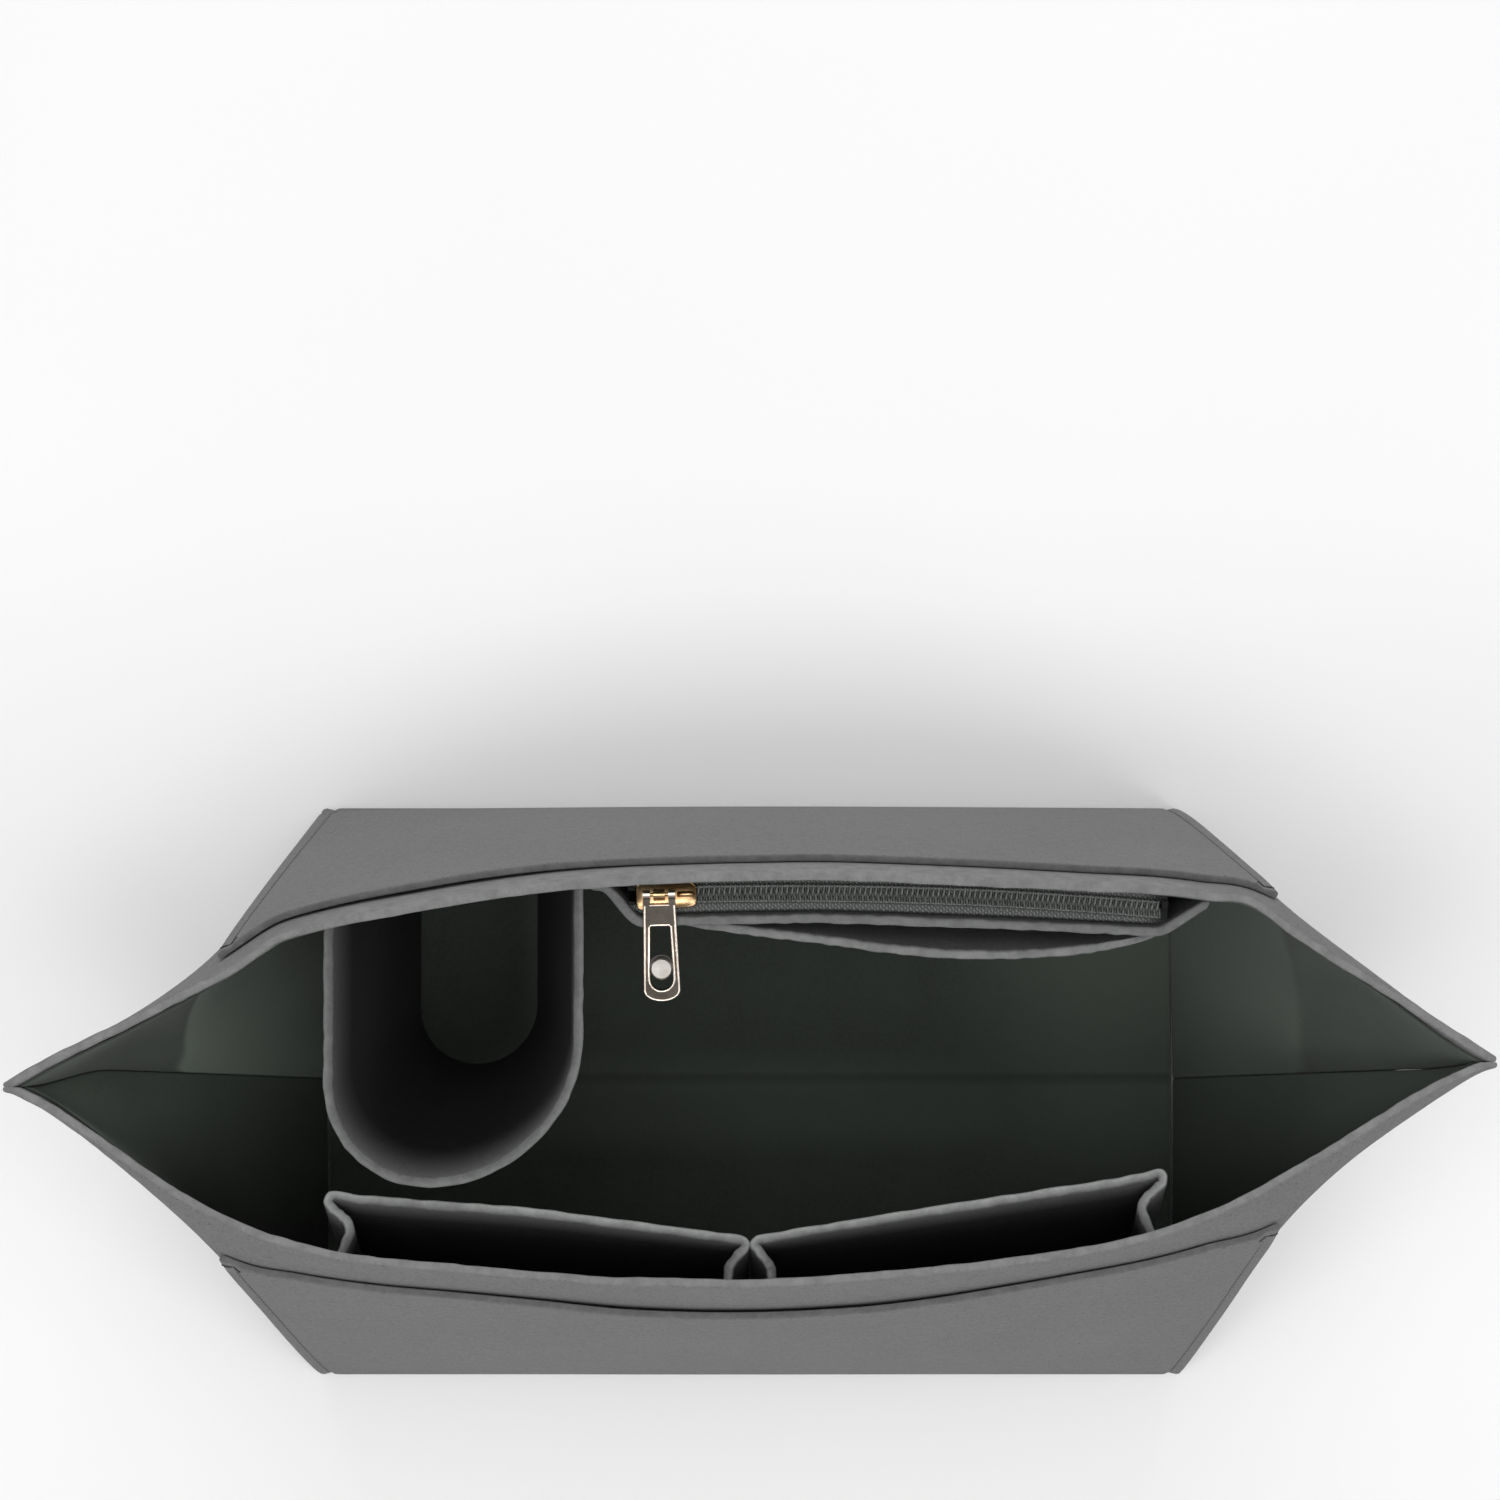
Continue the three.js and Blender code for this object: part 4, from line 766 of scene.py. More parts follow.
def pocket_groove(u, z):
    """Depth of the dent that the stitching pulls into the felt."""
    side = np.exp(-((np.abs(u) - POCKET_EDGE + STITCH_INSET) / GROOVE_HALF) ** 2)
    foot = np.exp(-((z - FOOT_SEAM) / GROOVE_HALF) ** 2)
    return GROOVE * np.maximum(side, foot)


def pocket_height(side, u, t):
    rise = POCKET_RISE[side] * smoothstep(np.abs(u), 0, POCKET_RISE_SPAN)
    return (rim_height(u) - POCKET_DROP[side] + rise) * t


def outer_pocket(name, side):
    us, thin_u = rounded(np.linspace(-POCKET_EDGE, POCKET_EDGE, POCKET_GRID[0]), POCKET_FELT)
    ts, thin_t = rounded(np.linspace(0, POCKET_SPAN, POCKET_GRID[1]), POCKET_FELT, low=False)
    ripple = MOUTH_RIPPLE * soft_noise(us / MOUTH_LENGTH, 0.0, MOUTH_SEED + side)
    near, far, cut_and_painted_light = [], [], []
    for t, thin in zip(ts / POCKET_SPAN, thin_t):
        z = pocket_height(side, us, t) + ripple * t ** MOUTH_POWER
        face, into = wall_face(side, us, z)
        share = np.minimum(thin, thin_u)
        wave = POCKET_WAVE * soft_noise(us / POCKET_WAVE_LENGTH, z / POCKET_WAVE_LENGTH,
                                        POCKET_WAVE_SEED + side)
        middle = POCKET_SEAT + POCKET_FELT / 2 + np.maximum(pocket_gape(side, us, t) + wave * t, 0)
        outer = middle + share * POCKET_FELT / 2 - pocket_groove(us, z)
        near.append(face - into * (middle - share * POCKET_FELT / 2)[:, None])
        far.append(face - into * outer[:, None])
        cut_and_painted_light.append(1 - share)
    return sheet_object(name, near, far, FELT_OUTER, cut_and_painted_light)


for side, word in SIDES:
    pocket = outer_pocket(f"{word}_outer_pocket_felt", side)
    dress(pocket, "felt_grey", f"{word}_outer_pocket")

# Inner pockets

RIM_LEVEL = float(rim_height(0.0))
HOLDER_TOP = RIM_LEVEL - HOLDER_DROP
HOLDER_LOW = FLOOR + HOLDER_FOOT
PLEAT_TOP = RIM_LEVEL - PLEAT_DROP
ZIP_LEVEL = RIM_LEVEL - ZIP_DROP
ZIP_PANEL_TOP = ZIP_LEVEL + ZIP_PANEL_RISE
ZIP_PANEL_FOOT = ZIP_PANEL_TOP - ZIP_PANEL_HEIGHT
ZIP_PANEL_LEFT, ZIP_PANEL_RIGHT = ZIP_LEFT - ZIP_PANEL_MARGIN[0], ZIP_RIGHT + ZIP_PANEL_MARGIN[1]
SLIP_TOP = ZIP_PANEL_TOP - SLIP_DROP
SLIP_FOOT = SLIP_TOP - SLIP_HEIGHT
STRIP_ROWS, EDGE_LIFT, EDGE_LIFT_WAVES, EDGE_LIFT_FROM, EDGE_LIFT_SEED = 44, 0.25, 14, 8, 73
EDGE_FRAY_WAVES, EDGE_FRAY_FROM, EDGE_FRAY_SEED = 60, 5, 75
LEG_POINTS, BEND_POINTS, ZIP_PANEL_POINTS, SLIP_POINTS = 22, 60, 150, 120


def plan_normals(path):
    along = np.gradient(path, axis=0)
    across = np.stack([along[:, 1], -along[:, 0]], -1)
    return across / np.linalg.norm(across, axis=1, keepdims=True)


def end_share(from_end, taper):
    """Share of a strip's thickness near its end."""
    return np.sqrt(np.clip(from_end / taper, END_PINCH, 1))


def standing_strip(name, side, foot, top, path_at, material, taper=0.0, inner=(0, 1)):
    """Felt strip that stands on a wall's lining. Its plan at each level is a path of (x, distance from it).

    Its ends meet the wall, or thin out over the taper's length."""
    levels, shares = rounded(np.linspace(foot, top, STRIP_ROWS), FELT)
    near, far, cut_and_painted_light = [], [], []
    for z, share in zip(levels, shares):
        line = lining_line(side, z)
        path = path_at(z)
        centre = np.stack([path[:, 0], line(path[:, 0]) - side * path[:, 1]], -1)
        normal = plan_normals(centre)
        along = np.linspace(0, 1, len(path))
        thin = np.full(len(path), share)
        if taper:
            from_end = np.minimum(along, 1 - along) * lengths_along(centre)[-1]
            thin = np.minimum(thin, end_share(from_end, taper))
        lift = EDGE_LIFT * soft_noise(along * EDGE_LIFT_WAVES, 0.0, EDGE_LIFT_SEED)
        lift = lift * smoothstep(z, top - EDGE_LIFT_FROM, top)
        worn = FRAY * smoothstep(z, top - EDGE_FRAY_FROM, top)
        for rows_out, sign in ((near, 1), (far, -1)):
            fray = worn * soft_noise(along * EDGE_FRAY_WAVES, sign, EDGE_FRAY_SEED)
            row = centre + normal * (sign * (thin * FELT / 2 + fray))[:, None]
            if not taper:
                for end in (0, -1):
                    row[end, 1] = line(row[end, 0]) - side * WALL_TOUCH
            rows_out.append(np.column_stack([row, np.full(len(row), z) + lift]))
        cut_and_painted_light.append(1 - thin)
    return sheet_object(name, near, far, material, cut_and_painted_light, inner)


def holder_path(z):
    t = (z - HOLDER_LOW) / (HOLDER_TOP - HOLDER_LOW)
    half = lerp(HOLDER_BASE[0], HOLDER_MOUTH[0], t) / 2 - FELT / 2
    right_half = half + HOLDER_BULGE * math.sin(math.pi * np.clip(t, 0, 1))
    reach = lerp(HOLDER_BASE[1], HOLDER_MOUTH[1], t) - FELT / 2
    leg = np.linspace(0, reach - half, LEG_POINTS)[:-1]
    angles = np.linspace(math.pi, 0, BEND_POINTS)
    left = np.stack([np.full(len(leg), HOLDER_X - half), leg], -1)
    across = np.where(np.cos(angles) > 0, right_half, half)
    bend = np.stack([HOLDER_X + across * np.cos(angles), reach - half + half * np.sin(angles)], -1)
    right = np.stack([np.full(len(leg), HOLDER_X + right_half), leg[::-1]], -1)
    return np.concatenate([left, bend, right])


def folded_path(corners, radii, runs, steps=14):
    """Path through the corners, each turned with its radius, with a run of points between the turns."""
    corners = [np.array(c, float) for c in corners]
    stops = [corners[0][None]]
    for before, corner, after, radius in zip(corners, corners[1:], corners[2:], radii):
        back, ahead = before - corner, after - corner
        long_back, long_ahead = np.linalg.norm(back), np.linalg.norm(ahead)
        back, ahead = back / long_back, ahead / long_ahead
        half = math.acos(np.clip(back @ ahead, -1, 1)) / 2
        tangent = min(radius / math.tan(half), FOLD_LEG_SHARE * min(long_back, long_ahead))
        middle = back + ahead
        centre = corner + middle / np.linalg.norm(middle) * tangent / math.cos(half)
        start, end = corner + back * tangent - centre, corner + ahead * tangent - centre
        turn = math.copysign(math.pi - 2 * half, start[0] * end[1] - start[1] * end[0])
        a = np.linspace(0, turn, steps)
        stops.append(np.stack([
            centre[0] + start[0] * np.cos(a) - start[1] * np.sin(a),
            centre[1] + start[0] * np.sin(a) + start[1] * np.cos(a),
        ], -1))
    stops.append(corners[-1][None])
    path = [stops[0]]
    for before, after, count in zip(stops, stops[1:], runs):
        t = np.linspace(0, 1, count + 1)[1:-1, None]
        path += [lerp(before[-1], after[0], t), after]
    return np.concatenate(path)


def pleat_path(hand):
    def path(z):
        share = lerp(PLEAT_FOOT_SHARE, 1, (z - FLOOR) / (PLEAT_TOP - FLOOR))
        corners = [(hand * PLEAT_STRETCH[hand] * x, n * share) for x, n in PLEAT_CORNERS]
        fold = folded_path(corners, FOLD_RADII, FOLD_RUNS)
        across = np.clip(np.abs(fold[:, 0]) / corners[1][0] * hand, 0, 1)
        stands = np.clip(fold[:, 1] / PLEAT_BOW_FROM, 0, 1)
        fold[:, 1] += PLEAT_BOW * share * np.sin(math.pi * across) * stands
        return fold
    return path


def zip_panel_reach(x, z):
    """Distance of the zip panel's middle from the lining."""
    flat = ZIP_PANEL_SEAT + FELT / 2
    turn = soft_min(np.maximum((ZIP_PANEL_RIGHT - x) / ZIP_PANEL_LEG[1], 0), 1, ZIP_PANEL_TURN)
    away = smoothstep(x, ZIP_PANEL_LEFT, ZIP_PANEL_LEFT + ZIP_PANEL_LEG[0]) * turn
    rise = (z - ZIP_PANEL_FOOT) / (ZIP_PANEL_TOP - ZIP_PANEL_FOOT)
    reach = ZIP_PANEL_REACH - ZIP_PANEL_TAPER * smoothstep(x, *ZIP_PANEL_TAPER_SPAN)
    return flat + (reach + FELT / 2 - flat) * away * rise


def zip_panel_path(z):
    x = np.linspace(ZIP_PANEL_LEFT - FELT, ZIP_PANEL_RIGHT, ZIP_PANEL_POINTS)
    return np.stack([x, zip_panel_reach(x, z)], -1)


def slip_path(z):
    rise = (z - SLIP_FOOT) / (SLIP_TOP - SLIP_FOOT)
    x = np.linspace(SLIP_LEFT, SLIP_RIGHT, SLIP_POINTS)
    along = (x - SLIP_LEFT) / (SLIP_RIGHT - SLIP_LEFT)
    bow = SLIP_GAPE * rise * np.sin(math.pi * along ** SLIP_BOW)
    thin = end_share(np.minimum(x - SLIP_LEFT, SLIP_RIGHT - x), SLIP_TAPER)
    return np.stack([x, zip_panel_reach(x, z) + (1 + thin) * FELT / 2 + GAP + bow], -1)


holder = dress(
    standing_strip("bottle_holder_felt", BACK, HOLDER_LOW, HOLDER_TOP, holder_path, FELT_HOLDER),
    "felt_pocket", "bottle_holder")
for word, hand, inner in (("left", LEFT, (1, 0)), ("right", RIGHT, (0, 1))):
    pocket = standing_strip(f"front_pocket_{word}_felt", FRONT, FLOOR + GAP, PLEAT_TOP, pleat_path(hand),
                            FELT_POCKET, inner=inner)
    dress(pocket, "felt_pocket", f"front_pocket_{word}")
zip_panel = dress(
    standing_strip("zip_panel_felt", BACK, ZIP_PANEL_FOOT, ZIP_PANEL_TOP, zip_panel_path, FELT_ZIP,
                   END_ROUND),
    "felt_pocket", "zip_pocket_panel")
slip_panel = dress(
    standing_strip("slip_pocket_felt", BACK, SLIP_FOOT, SLIP_TOP, slip_path, FELT_SLIP, SLIP_TAPER),
    "felt_pocket", "back_slip_pocket")

# Zip chain, on the arc that the slider's joint turns about

travel, swing = (next(j for j in frame["joints"] if j["name"] == n) for n in ("zip_travel", "pull_swing"))
CHAIN_CENTRE = np.array(travel["pos_m"][:2]) * 1000
pivot = np.array(swing["pos_m"][:2]) * 1000 - CHAIN_CENTRE
CHAIN_RADIUS = math.sqrt(pivot @ pivot - PIVOT_X ** 2)


def chain_angle(x):
    return np.arcsin((np.asarray(x, float) - CHAIN_CENTRE[0]) / CHAIN_RADIUS)


def beside_chain(angle, distance):
    reach = CHAIN_RADIUS + np.asarray(distance, float)
    return np.stack([CHAIN_CENTRE[0] + reach * np.sin(angle), CHAIN_CENTRE[1] + reach * np.cos(angle)], -1)


TAPE_GRID, TAPE_ROUND = (220, 14), 0.25
TAPE_SWELL, TAPE_SWELL_LENGTH, TAPE_SWELL_ROWS, TAPE_SWELL_SEED = 0.12, 14, 3, 81
# Painted shade on a tape: under the coil and under the felt, by share across it, and towards its right end
UNDER_COIL, UNDER_FELT, TAPE_END, TAPE_END_SHADE = (0.2, 0.34), (0.8, 0.92), (9, 2), 0.9


def tape_reach(hand, xs):
    """Distance from the lining to a tape's sewn edge."""
    return GAP if hand > 0 else zip_panel_reach(xs, ZIP_LEVEL) - FELT / 2 - GAP


def chain_points(angles, across, above):
    """Points along the chain, at distances across it and above the tape's mid-plane."""
    level = np.broadcast_to(ZIP_LEVEL + np.asarray(above, float), np.shape(angles))
    return np.column_stack([beside_chain(angles, across), level])


def zip_tape(name, hand):
    """Flat tape from the chain to the wall or to the panel."""
    xs = np.linspace(ZIP_LEFT, ZIP_RIGHT, TAPE_GRID[0])
    inner = beside_chain(chain_angle(xs), hand * TAPE_EDGE)
    outer = np.stack([xs, lining_line(BACK, ZIP_LEVEL)(xs) - tape_reach(hand, xs)], -1)
    end = TAPE_END_SHADE * smoothstep(xs, ZIP_RIGHT - TAPE_END[0], ZIP_RIGHT - TAPE_END[1])
    near, far, cut_and_painted_light = [], [], []
    for t, thin in zip(*rounded(np.linspace(0, 1, TAPE_GRID[1]), TAPE_ROUND)):
        row = lerp(inner, outer, t)
        swell = TAPE_SWELL * soft_noise(xs / TAPE_SWELL_LENGTH, t * TAPE_SWELL_ROWS, TAPE_SWELL_SEED)
        swell = swell * math.sin(math.pi * t)
        near.append(np.column_stack([row, ZIP_LEVEL - thin * TAPE / 2 + swell]))
        far.append(np.column_stack([row, ZIP_LEVEL + thin * TAPE / 2 + swell]))
        # Painted shade where the tape lies under the coil and the felt
        tape_shade = max(1 - thin, 1 - smoothstep(t, *UNDER_COIL), smoothstep(t, *UNDER_FELT))
        cut_and_painted_light.append(np.maximum(tape_shade, end))
    return sheet_object(name, near, far, ZIP_TAPE, cut_and_painted_light)


UP, UPRIGHT = np.array([0.0, 0.0, 1.0]), 1e-4


def tube(path, radius, sides):
    """Points and faces of a closed round tube along a path, with its ends drawn in."""
    path = np.asarray(path, float)
    radius = np.broadcast_to(np.asarray(radius, float), (len(path),))
    along = np.gradient(path, axis=0)
    along /= np.linalg.norm(along, axis=1, keepdims=True)
    across = np.cross(along, UP)
    across[np.linalg.norm(across, axis=1) < UPRIGHT] = (1, 0, 0)
    across /= np.linalg.norm(across, axis=1, keepdims=True)
    rise = np.cross(across, along)
    a = np.linspace(0, 2 * math.pi, sides, endpoint=False)
    ring = across[:, None] * np.cos(a)[None, :, None] + rise[:, None] * np.sin(a)[None, :, None]
    verts = (path[:, None] + ring * radius[:, None, None]).reshape(-1, 3)
    start = np.arange(len(path) - 1)[:, None] * sides
    side = np.arange(sides)
    after = (side + 1) % sides
    quads = np.stack([start + side, start + after, start + sides + after, start + sides + side], -1)
    last = (len(path) - 1) * sides
    faces = quads.reshape(-1, 4).tolist() + [side[::-1].tolist(), (last + side).tolist()]
    return verts, faces


def joined(pieces):
    """One set of points and faces from several."""
    verts, faces, count = [], [], 0
    for v, f in pieces:
        verts.append(v)
        faces += [[i + count for i in face] for face in f]
        count += len(v)
    return np.concatenate(verts), faces


# A loop of the coil: its half length, reach and hook, its levels over the tape, and the cord inside
COIL_LEFT, COIL_RIGHT, LOOP_POINTS, LOOP_RADIUS, WIRE_SIDES = -29.0, ZIP_RIGHT - 0.4, 13, 0.38, 7
LOOP_HALF, LOOP_PINCH, LOOP_REACH, LOOP_HOOK, HOOK_POWER = 0.5, 0.25, 2.7, 3.1, 0.6
LOOP_LOW, LOOP_RISE, LOOP_DIP = 1.0, 1.3, 0.1
CORD_AT, CORD_RADIUS, CORD_POINTS = 2.35, 0.4, 160


def zip_coil(name, hand):
    """A row of nylon loops: a leg in, a bent head that hooks past the middle, and a leg back on top."""
    start, end = chain_angle(COIL_LEFT), chain_angle(COIL_RIGHT)
    pitch = LOOP_PITCH / CHAIN_RADIUS
    count = int((end - start) / pitch) - 1
    first = start + pitch * (0.5 if hand > 0 else 1.0)
    t = np.linspace(0, 1, LOOP_POINTS)
    hook = np.sin(math.pi * t)
    along = LOOP_HALF * (2 * t - 1) * (1 - LOOP_PINCH * hook)
    across = hand * (LOOP_REACH - LOOP_HOOK * hook ** HOOK_POWER)
    high = LOOP_LOW + LOOP_RISE * smoothstep(t, 0, 1) - LOOP_DIP * hook
    starts = first + pitch * np.arange(count)
    loops = [chain_points(at + along / CHAIN_RADIUS, across, high) for at in starts]
    pieces = [tube(loop, LOOP_RADIUS, WIRE_SIDES) for loop in loops]
    cord = chain_points(np.linspace(first, starts[-1], CORD_POINTS), hand * CORD_AT, LOOP_LOW)
    pieces.append(tube(cord, CORD_RADIUS, WIRE_SIDES))
    return new_object(name, *joined(pieces), ZIP_COIL)


CHAIN_SIDES = (("rear", 1), ("front", -1))
tapes, coils = {}, {}
for word, hand in CHAIN_SIDES:
    tapes[word] = dress(zip_tape(f"zip_tape_{word}_cloth", hand), "zip_tape", f"zipper_tape_{word}")
    coils[word] = dress(zip_coil(f"zip_coil_{word}_loops", hand), "zip_coil", f"zipper_coil_{word}")

# Stitching

# A stitch: share of its pitch that shows, depth of its ends, how thin they are and how high it arches
STITCH_SHARE, STITCH_SINK, STITCH_THIN, STITCH_ARCH, STITCH_POINTS, STITCH_SIDES = 0.8, 0.25, 0.55, 0.6, 7, 6
SEAM_PITCH, SEAM_RADIUS, SEAM_SPAN = 3.2, 0.3, (0.025, 0.995)
TACK_PITCH, TACK_RADIUS, TACK_SPAN, TACK_LEVEL = 0.75, 0.34, (5.5, 0.4), 0.984
TAPE_PITCH, TAPE_RADIUS, TAPE_STITCH_END, TAPE_STITCH_SHIFT = 2.4, 0.18, 2, {"rear": 1.0, "front": -0.5}
BOUND_PITCH, BOUND_RADIUS, BOUND_AT, BOUND_ABOVE, BOUND_SPAN = 1.45, 0.2, 2.85, 1.6, (-27, ZIP_RIGHT - 5)
SEAM_POINTS, TACK_POINTS, FOOT_POINTS, TAPE_POINTS = 120, 20, 200, 160


def stitches(name, path, outward, pitch, material, radius):
    """A row of stitches along a path of points: each lies on the cloth and dives in at both ends."""
    along = lengths_along(path)
    arch = np.sin(np.linspace(0, math.pi, STITCH_POINTS))
    thick = radius * (STITCH_THIN + (1 - STITCH_THIN) * arch)
    above = (arch * (radius * STITCH_ARCH + STITCH_SINK) - STITCH_SINK)[:, None]
    shown = np.linspace((1 - STITCH_SHARE) / 2, (1 + STITCH_SHARE) / 2, STITCH_POINTS)
    pieces = []
    for i in range(int(along[-1] / pitch)):
        at = (i + shown) * pitch
        line = points_at(at, along, path) + points_at(at, along, outward) * above
        pieces.append(tube(line, thick, STITCH_SIDES))
    dress(new_object(name, *joined(pieces), material), None)


def pocket_row(name, side, u, t, pitch, radius, material, level=None):
    """Stitches on an outer pocket's face, along its threads u at shares t of its height, or at one level."""
    z = pocket_height(side, u, t) if level is None else np.full(len(u), level)
    face, into = wall_face(side, u, z)
    reach = POCKET_SEAT + POCKET_FELT + pocket_gape(side, u, t) - pocket_groove(u, z)
    stitches(name, face - into * reach[:, None], -into, pitch, material, radius)


sewn = POCKET_EDGE - STITCH_INSET
for side, word in SIDES:
    for hand, end in ((LEFT, "left"), (RIGHT, "right")):
        t = np.linspace(*SEAM_SPAN, SEAM_POINTS)
        u = np.full(len(t), hand * sewn)
        pocket_row(f"{word}_pocket_stitches_{end}", side, u, t, SEAM_PITCH, SEAM_RADIUS, STITCH_GREY)
        u = hand * np.linspace(POCKET_EDGE - TACK_SPAN[0], POCKET_EDGE - TACK_SPAN[1], TACK_POINTS)
        t = np.full(len(u), TACK_LEVEL)
        pocket_row(f"{word}_pocket_tack_{end}", side, u, t, TACK_PITCH, TACK_RADIUS, STITCH_DARK)
    u = np.linspace(-sewn, sewn, FOOT_POINTS)
    t = np.full(len(u), SEAM_SPAN[0])
    pocket_row(f"{word}_pocket_stitches_foot", side, u, t, SEAM_PITCH, SEAM_RADIUS, STITCH_GREY, FOOT_SEAM)

for word, hand in CHAIN_SIDES:
    xs = np.linspace(ZIP_LEFT + TAPE_STITCH_END, ZIP_RIGHT - TAPE_STITCH_END, TAPE_POINTS)
    back = lining_line(BACK, ZIP_LEVEL)(xs) - tape_reach(hand, xs) - TAPE_STITCH_SHIFT[word]
    seam = np.stack([xs, back, np.full(len(xs), ZIP_LEVEL + TAPE / 2)], -1)
    up = np.tile(UP, (len(xs), 1))
    stitches(f"zip_tape_{word}_stitches", seam, up, TAPE_PITCH, STITCH_DARK, TAPE_RADIUS)
    angles = chain_angle(np.linspace(*BOUND_SPAN, TAPE_POINTS))
    bound = chain_points(angles, hand * BOUND_AT, BOUND_ABOVE)
    stitches(f"zip_coil_{word}_stitches", bound, up, BOUND_PITCH, STITCH_GREY, BOUND_RADIUS)

# Metal

SOFT_EDGE, SOFT_STEPS, SOFT_FROM = 0.3 * MILLIMETRE, 3, math.radians(35)
for node, material in (
    ("slider_body", SLIDER_GOLD), ("pull_pin", SLIDER_GOLD), ("zipper_top_stop_rear", STOP_NYLON),
    ("zipper_top_stop_front", STOP_NYLON), ("zipper_end_stop", STOP_NYLON),
    ("pull_tab", PULL_GOLD), ("pull_stud", STUD_SATIN),
):
    solid = frame["nodes"][node]
    solid.data.materials.clear()
    solid.data.materials.append(material)
    soften = solid.modifiers.new("soft_edges", "BEVEL")
    soften.width, soften.segments = SOFT_EDGE, SOFT_STEPS
    soften.limit_method, soften.angle_limit = "ANGLE", SOFT_FROM
    soften.harden_normals = True
    solid.data.polygons.foreach_set("use_smooth", np.ones(len(solid.data.polygons), bool))

# Raised borders along the outline and the window of the pull
BORDER_TOP, BORDER_SIDES, WINDOW_ROUND, TURN_POINTS, FAR_SHARE = -3.5, 10, 0.6, 24, 0.9
pin_way = np.array(swing["axis"], float)
pull_pivot = np.array(swing["pos_m"], float) / MILLIMETRE
tab = frame["nodes"]["pull_tab"]
tab_points = np.array([tab.matrix_world @ v.co for v in tab.data.vertices]) / MILLIMETRE - pull_pivot
far_end = tab_points[np.linalg.norm(tab_points, axis=1) > FAR_SHARE * PULL_LENGTH].mean(0)
pull_way = far_end - pin_way * (far_end @ pin_way)
pull_way /= np.linalg.norm(pull_way)
pull_face = np.cross(pull_way, pin_way)
pull_face *= np.sign(pull_face[2])


def pull_point(x, y, z):
    """Point in the pull's own frame: x along its pin, y back along its length, z off its face."""
    return pull_pivot + np.multiply.outer(x, pin_way) + np.multiply.outer(y, -pull_way) + z * pull_face


def round_end(half, depth, middle):
    """Half a turn round the lower end."""
    a = np.linspace(math.pi, 2 * math.pi, TURN_POINTS)
    return np.stack([half * np.cos(a), depth * np.sin(a) - middle], -1)


def pull_outline():
    half = PULL_TOP_HALF - BORDER
    end = round_end(PULL_END_HALF - BORDER, PULL_END - BORDER, PULL_LENGTH - PULL_END)
    return np.concatenate([[(-half, BORDER_TOP)], end, [(half, BORDER_TOP)]])


def window_outline():
    top, half, half_end = BORDER - WINDOW_TOP, WINDOW_HALF[0] + BORDER, WINDOW_HALF[1] + BORDER
    left = np.array([(0, top), (WINDOW_ROUND - half, top), (-half, top - WINDOW_ROUND)])
    end = round_end(half_end, half_end, WINDOW_END - WINDOW_HALF[1])
    return np.concatenate([left, end, left[::-1] * (-1, 1)])


for name, line in (("pull_border_outer", pull_outline()), ("pull_border_window", window_outline())):
    path = pull_point(line[:, 0], line[:, 1], PULL_THICK / 2 - BORDER + BORDER_RISE)
    border = new_object(name, *tube(path, BORDER, BORDER_SIDES), BORDER_HIGHLIGHT_GOLD)
    dress(border, None, body="zip_pull")

# Domed crown of the slider, and the rounded bridge behind the pull's eye
CROWN_GRID, CROWN_TAPER, CROWN_TAPER_POWER, CROWN_POWERS = (61, 33), 0.45, 7, (6, 2.6)
BRIDGE_SPAN, BRIDGE_HIGH, BRIDGE_POWER, BRIDGE_POINTS, BRIDGE_SIDES = (3.6, 8.6), 1.1, 5, 33, 16
BRIDGE_THIN, BRIDGE_THIN_POWER = 0.5, 6
chain_way = pin_way * np.sign(pin_way[0])
slider_side = np.cross(UP, chain_way)


def slider_point(along, across, up):
    """Points on the slider: along the chain and across it from its middle, and up from its top plate."""
    ways = ((along - PIVOT_X, chain_way), (across, slider_side), (up - PIVOT_HEIGHT, UP))
    return pull_pivot + sum(np.multiply.outer(distance, way) for distance, way in ways)


def slider_crown():
    a, b = np.meshgrid(*(np.sin(np.linspace(-1, 1, count) * math.pi / 2) for count in CROWN_GRID))
    along = a * (SLIDER_LENGTH / 2 - CROWN_INSET)
    wide = lerp(SLIDER_WIDE, SLIDER_NARROW, (a + 1) / 2) - CROWN_INSET
    across = b * wide * (1 - CROWN_TAPER * np.abs(a) ** CROWN_TAPER_POWER)
    dome = CROWN * (1 - np.abs(a) ** CROWN_POWERS[0]) * (1 - np.abs(b) ** CROWN_POWERS[1])
    under, over = (slider_point(along, across, up) for up in (np.full_like(a, -CROWN_SUNK), dome))
    return sheet_object("slider_crown", under, over, SLIDER_GOLD, np.zeros_like(a))


def slider_bridge():
    t = np.linspace(-1, 1, BRIDGE_POINTS)
    up = BRIDGE_HIGH * (1 - np.abs(t) ** BRIDGE_POWER)
    path = slider_point(lerp(*BRIDGE_SPAN, (t + 1) / 2), np.zeros_like(t), up)
    thick = BRIDGE * (1 - BRIDGE_THIN * np.abs(t) ** BRIDGE_THIN_POWER)
    return new_object("slider_bridge", *tube(path, thick, BRIDGE_SIDES), SLIDER_GOLD)


dress(slider_crown(), None, body="zip_slider")
dress(slider_bridge(), None, body="zip_slider")

# Floor, light and camera

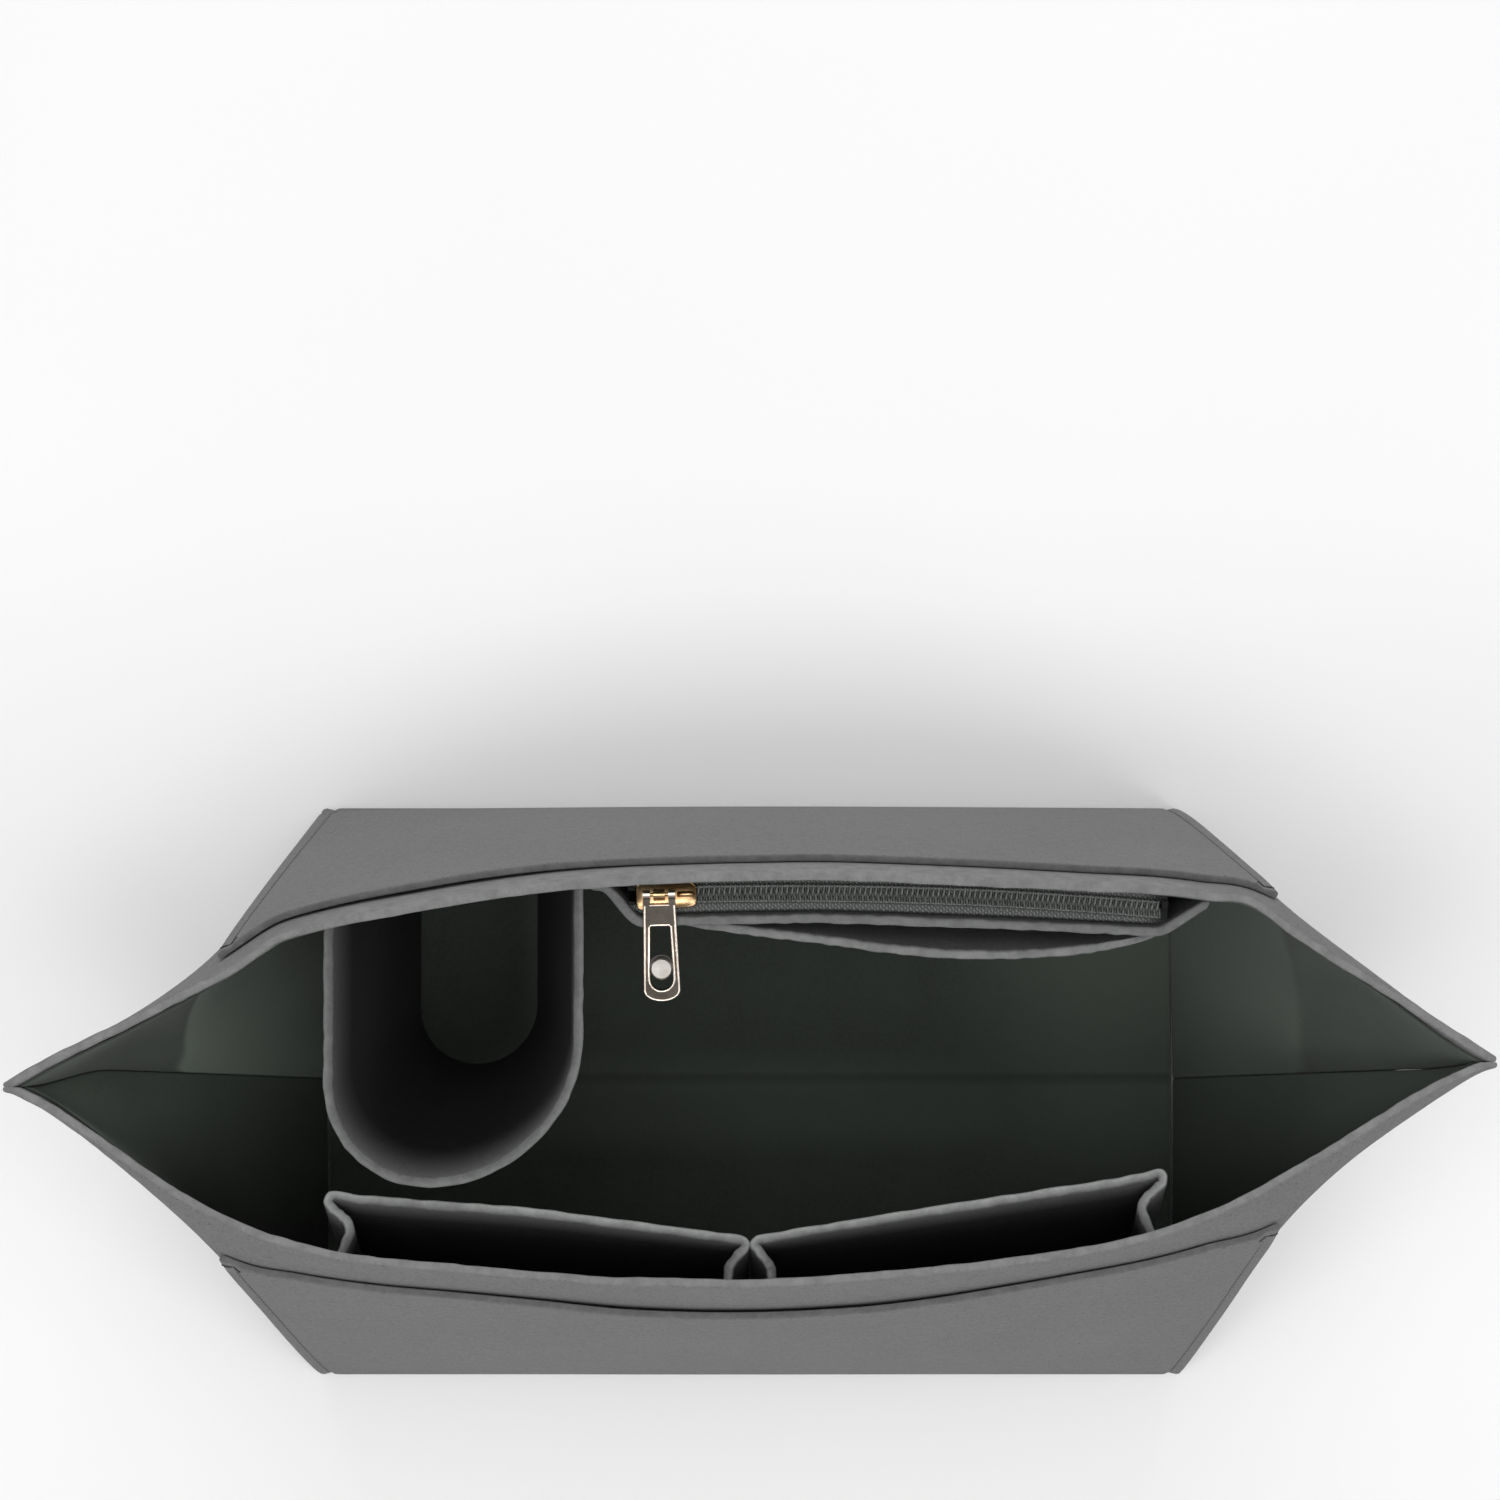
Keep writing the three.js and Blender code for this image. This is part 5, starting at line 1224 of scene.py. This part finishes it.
FLOOR_HALF, FLOOR_DROP = 6, 0.0004
floor_mesh = bpy.data.meshes.new("floor")
corners = [(x * FLOOR_HALF, y * FLOOR_HALF, -FLOOR_DROP) for x, y in ((-1, -1), (1, -1), (1, 1), (-1, 1))]
floor_mesh.from_pydata(corners, [], [(0, 1, 2, 3)])
floor = in_scene("floor", floor_mesh)
paper = Nodes("floor_paper")
tone = paper.ramp(paper.noise(3, 2, 0.5), 0.3, 0.7)
white = paper.mix(tone, (0.95, 0.95, 0.95), (0.97, 0.97, 0.97))
floor_mesh.materials.append(paper.finish(white, 0.9, Specular_IOR_Level=0.1))

# The studio's light by direction: bright overhead, dim round that, pale at the horizon
world = bpy.data.worlds.new("studio")
bpy.context.scene.world = world
world.use_nodes = True
studio = world.node_tree
direction = studio.nodes.new("ShaderNodeTexCoord")
split = studio.nodes.new("ShaderNodeSeparateXYZ")
levels = studio.nodes.new("ShaderNodeValToRGB")
studio.links.new(direction.outputs["Generated"], split.inputs[0])
studio.links.new(split.outputs["Z"], levels.inputs["Fac"])
studio.links.new(levels.outputs["Color"], studio.nodes["Background"].inputs["Color"])
SKY = [(0.0, 1.1), (0.25, 0.6), (0.5, 0.3), (0.72, 0.16), (0.86, 0.16), (0.91, 0.7), (0.95, 2.1)]
while len(levels.color_ramp.elements) < len(SKY):
    levels.color_ramp.elements.new(0.5)
for stop, (height, level) in zip(levels.color_ramp.elements, SKY):
    stop.position = height
    stop.color = (level, level, level, 1)

LIT_POINT = (0, 0, 0.1)


def softbox(name, place, size, power):
    light = bpy.data.lights.new(name, "AREA")
    light.shape = "RECTANGLE"
    light.size, light.size_y = size
    light.energy = power
    lamp = in_scene(name, light)
    lamp.location = place
    lamp.rotation_mode = "QUATERNION"
    lamp.rotation_quaternion = (Vector(LIT_POINT) - Vector(place)).to_track_quat("-Z", "Y")


softbox("left", (-1.2, -0.9, 2.1), (0.8, 0.8), 8.5)
softbox("right", (1.2, -0.9, 2.1), (0.8, 0.8), 8.5)
softbox("front", (0.0, -0.75, 2.3), (0.7, 0.5), 8.5)
softbox("back", (0.0, 2.3, 1.15), (2.2, 0.8), 19)

LENS, SENSOR, CAMERA_PLACE, CAMERA_TILT = 137.6, 36, (0, -0.035, 1.997), math.radians(4.4)
camera_data = bpy.data.cameras.new("camera")
camera_data.lens = LENS
camera_data.sensor_width = SENSOR
camera_data.clip_end = 20
camera = in_scene("camera", camera_data)
camera.location = CAMERA_PLACE
camera.rotation_euler = (CAMERA_TILT, 0, 0)
bpy.context.scene.camera = camera

bpy.context.scene.view_settings.view_transform = "Standard"
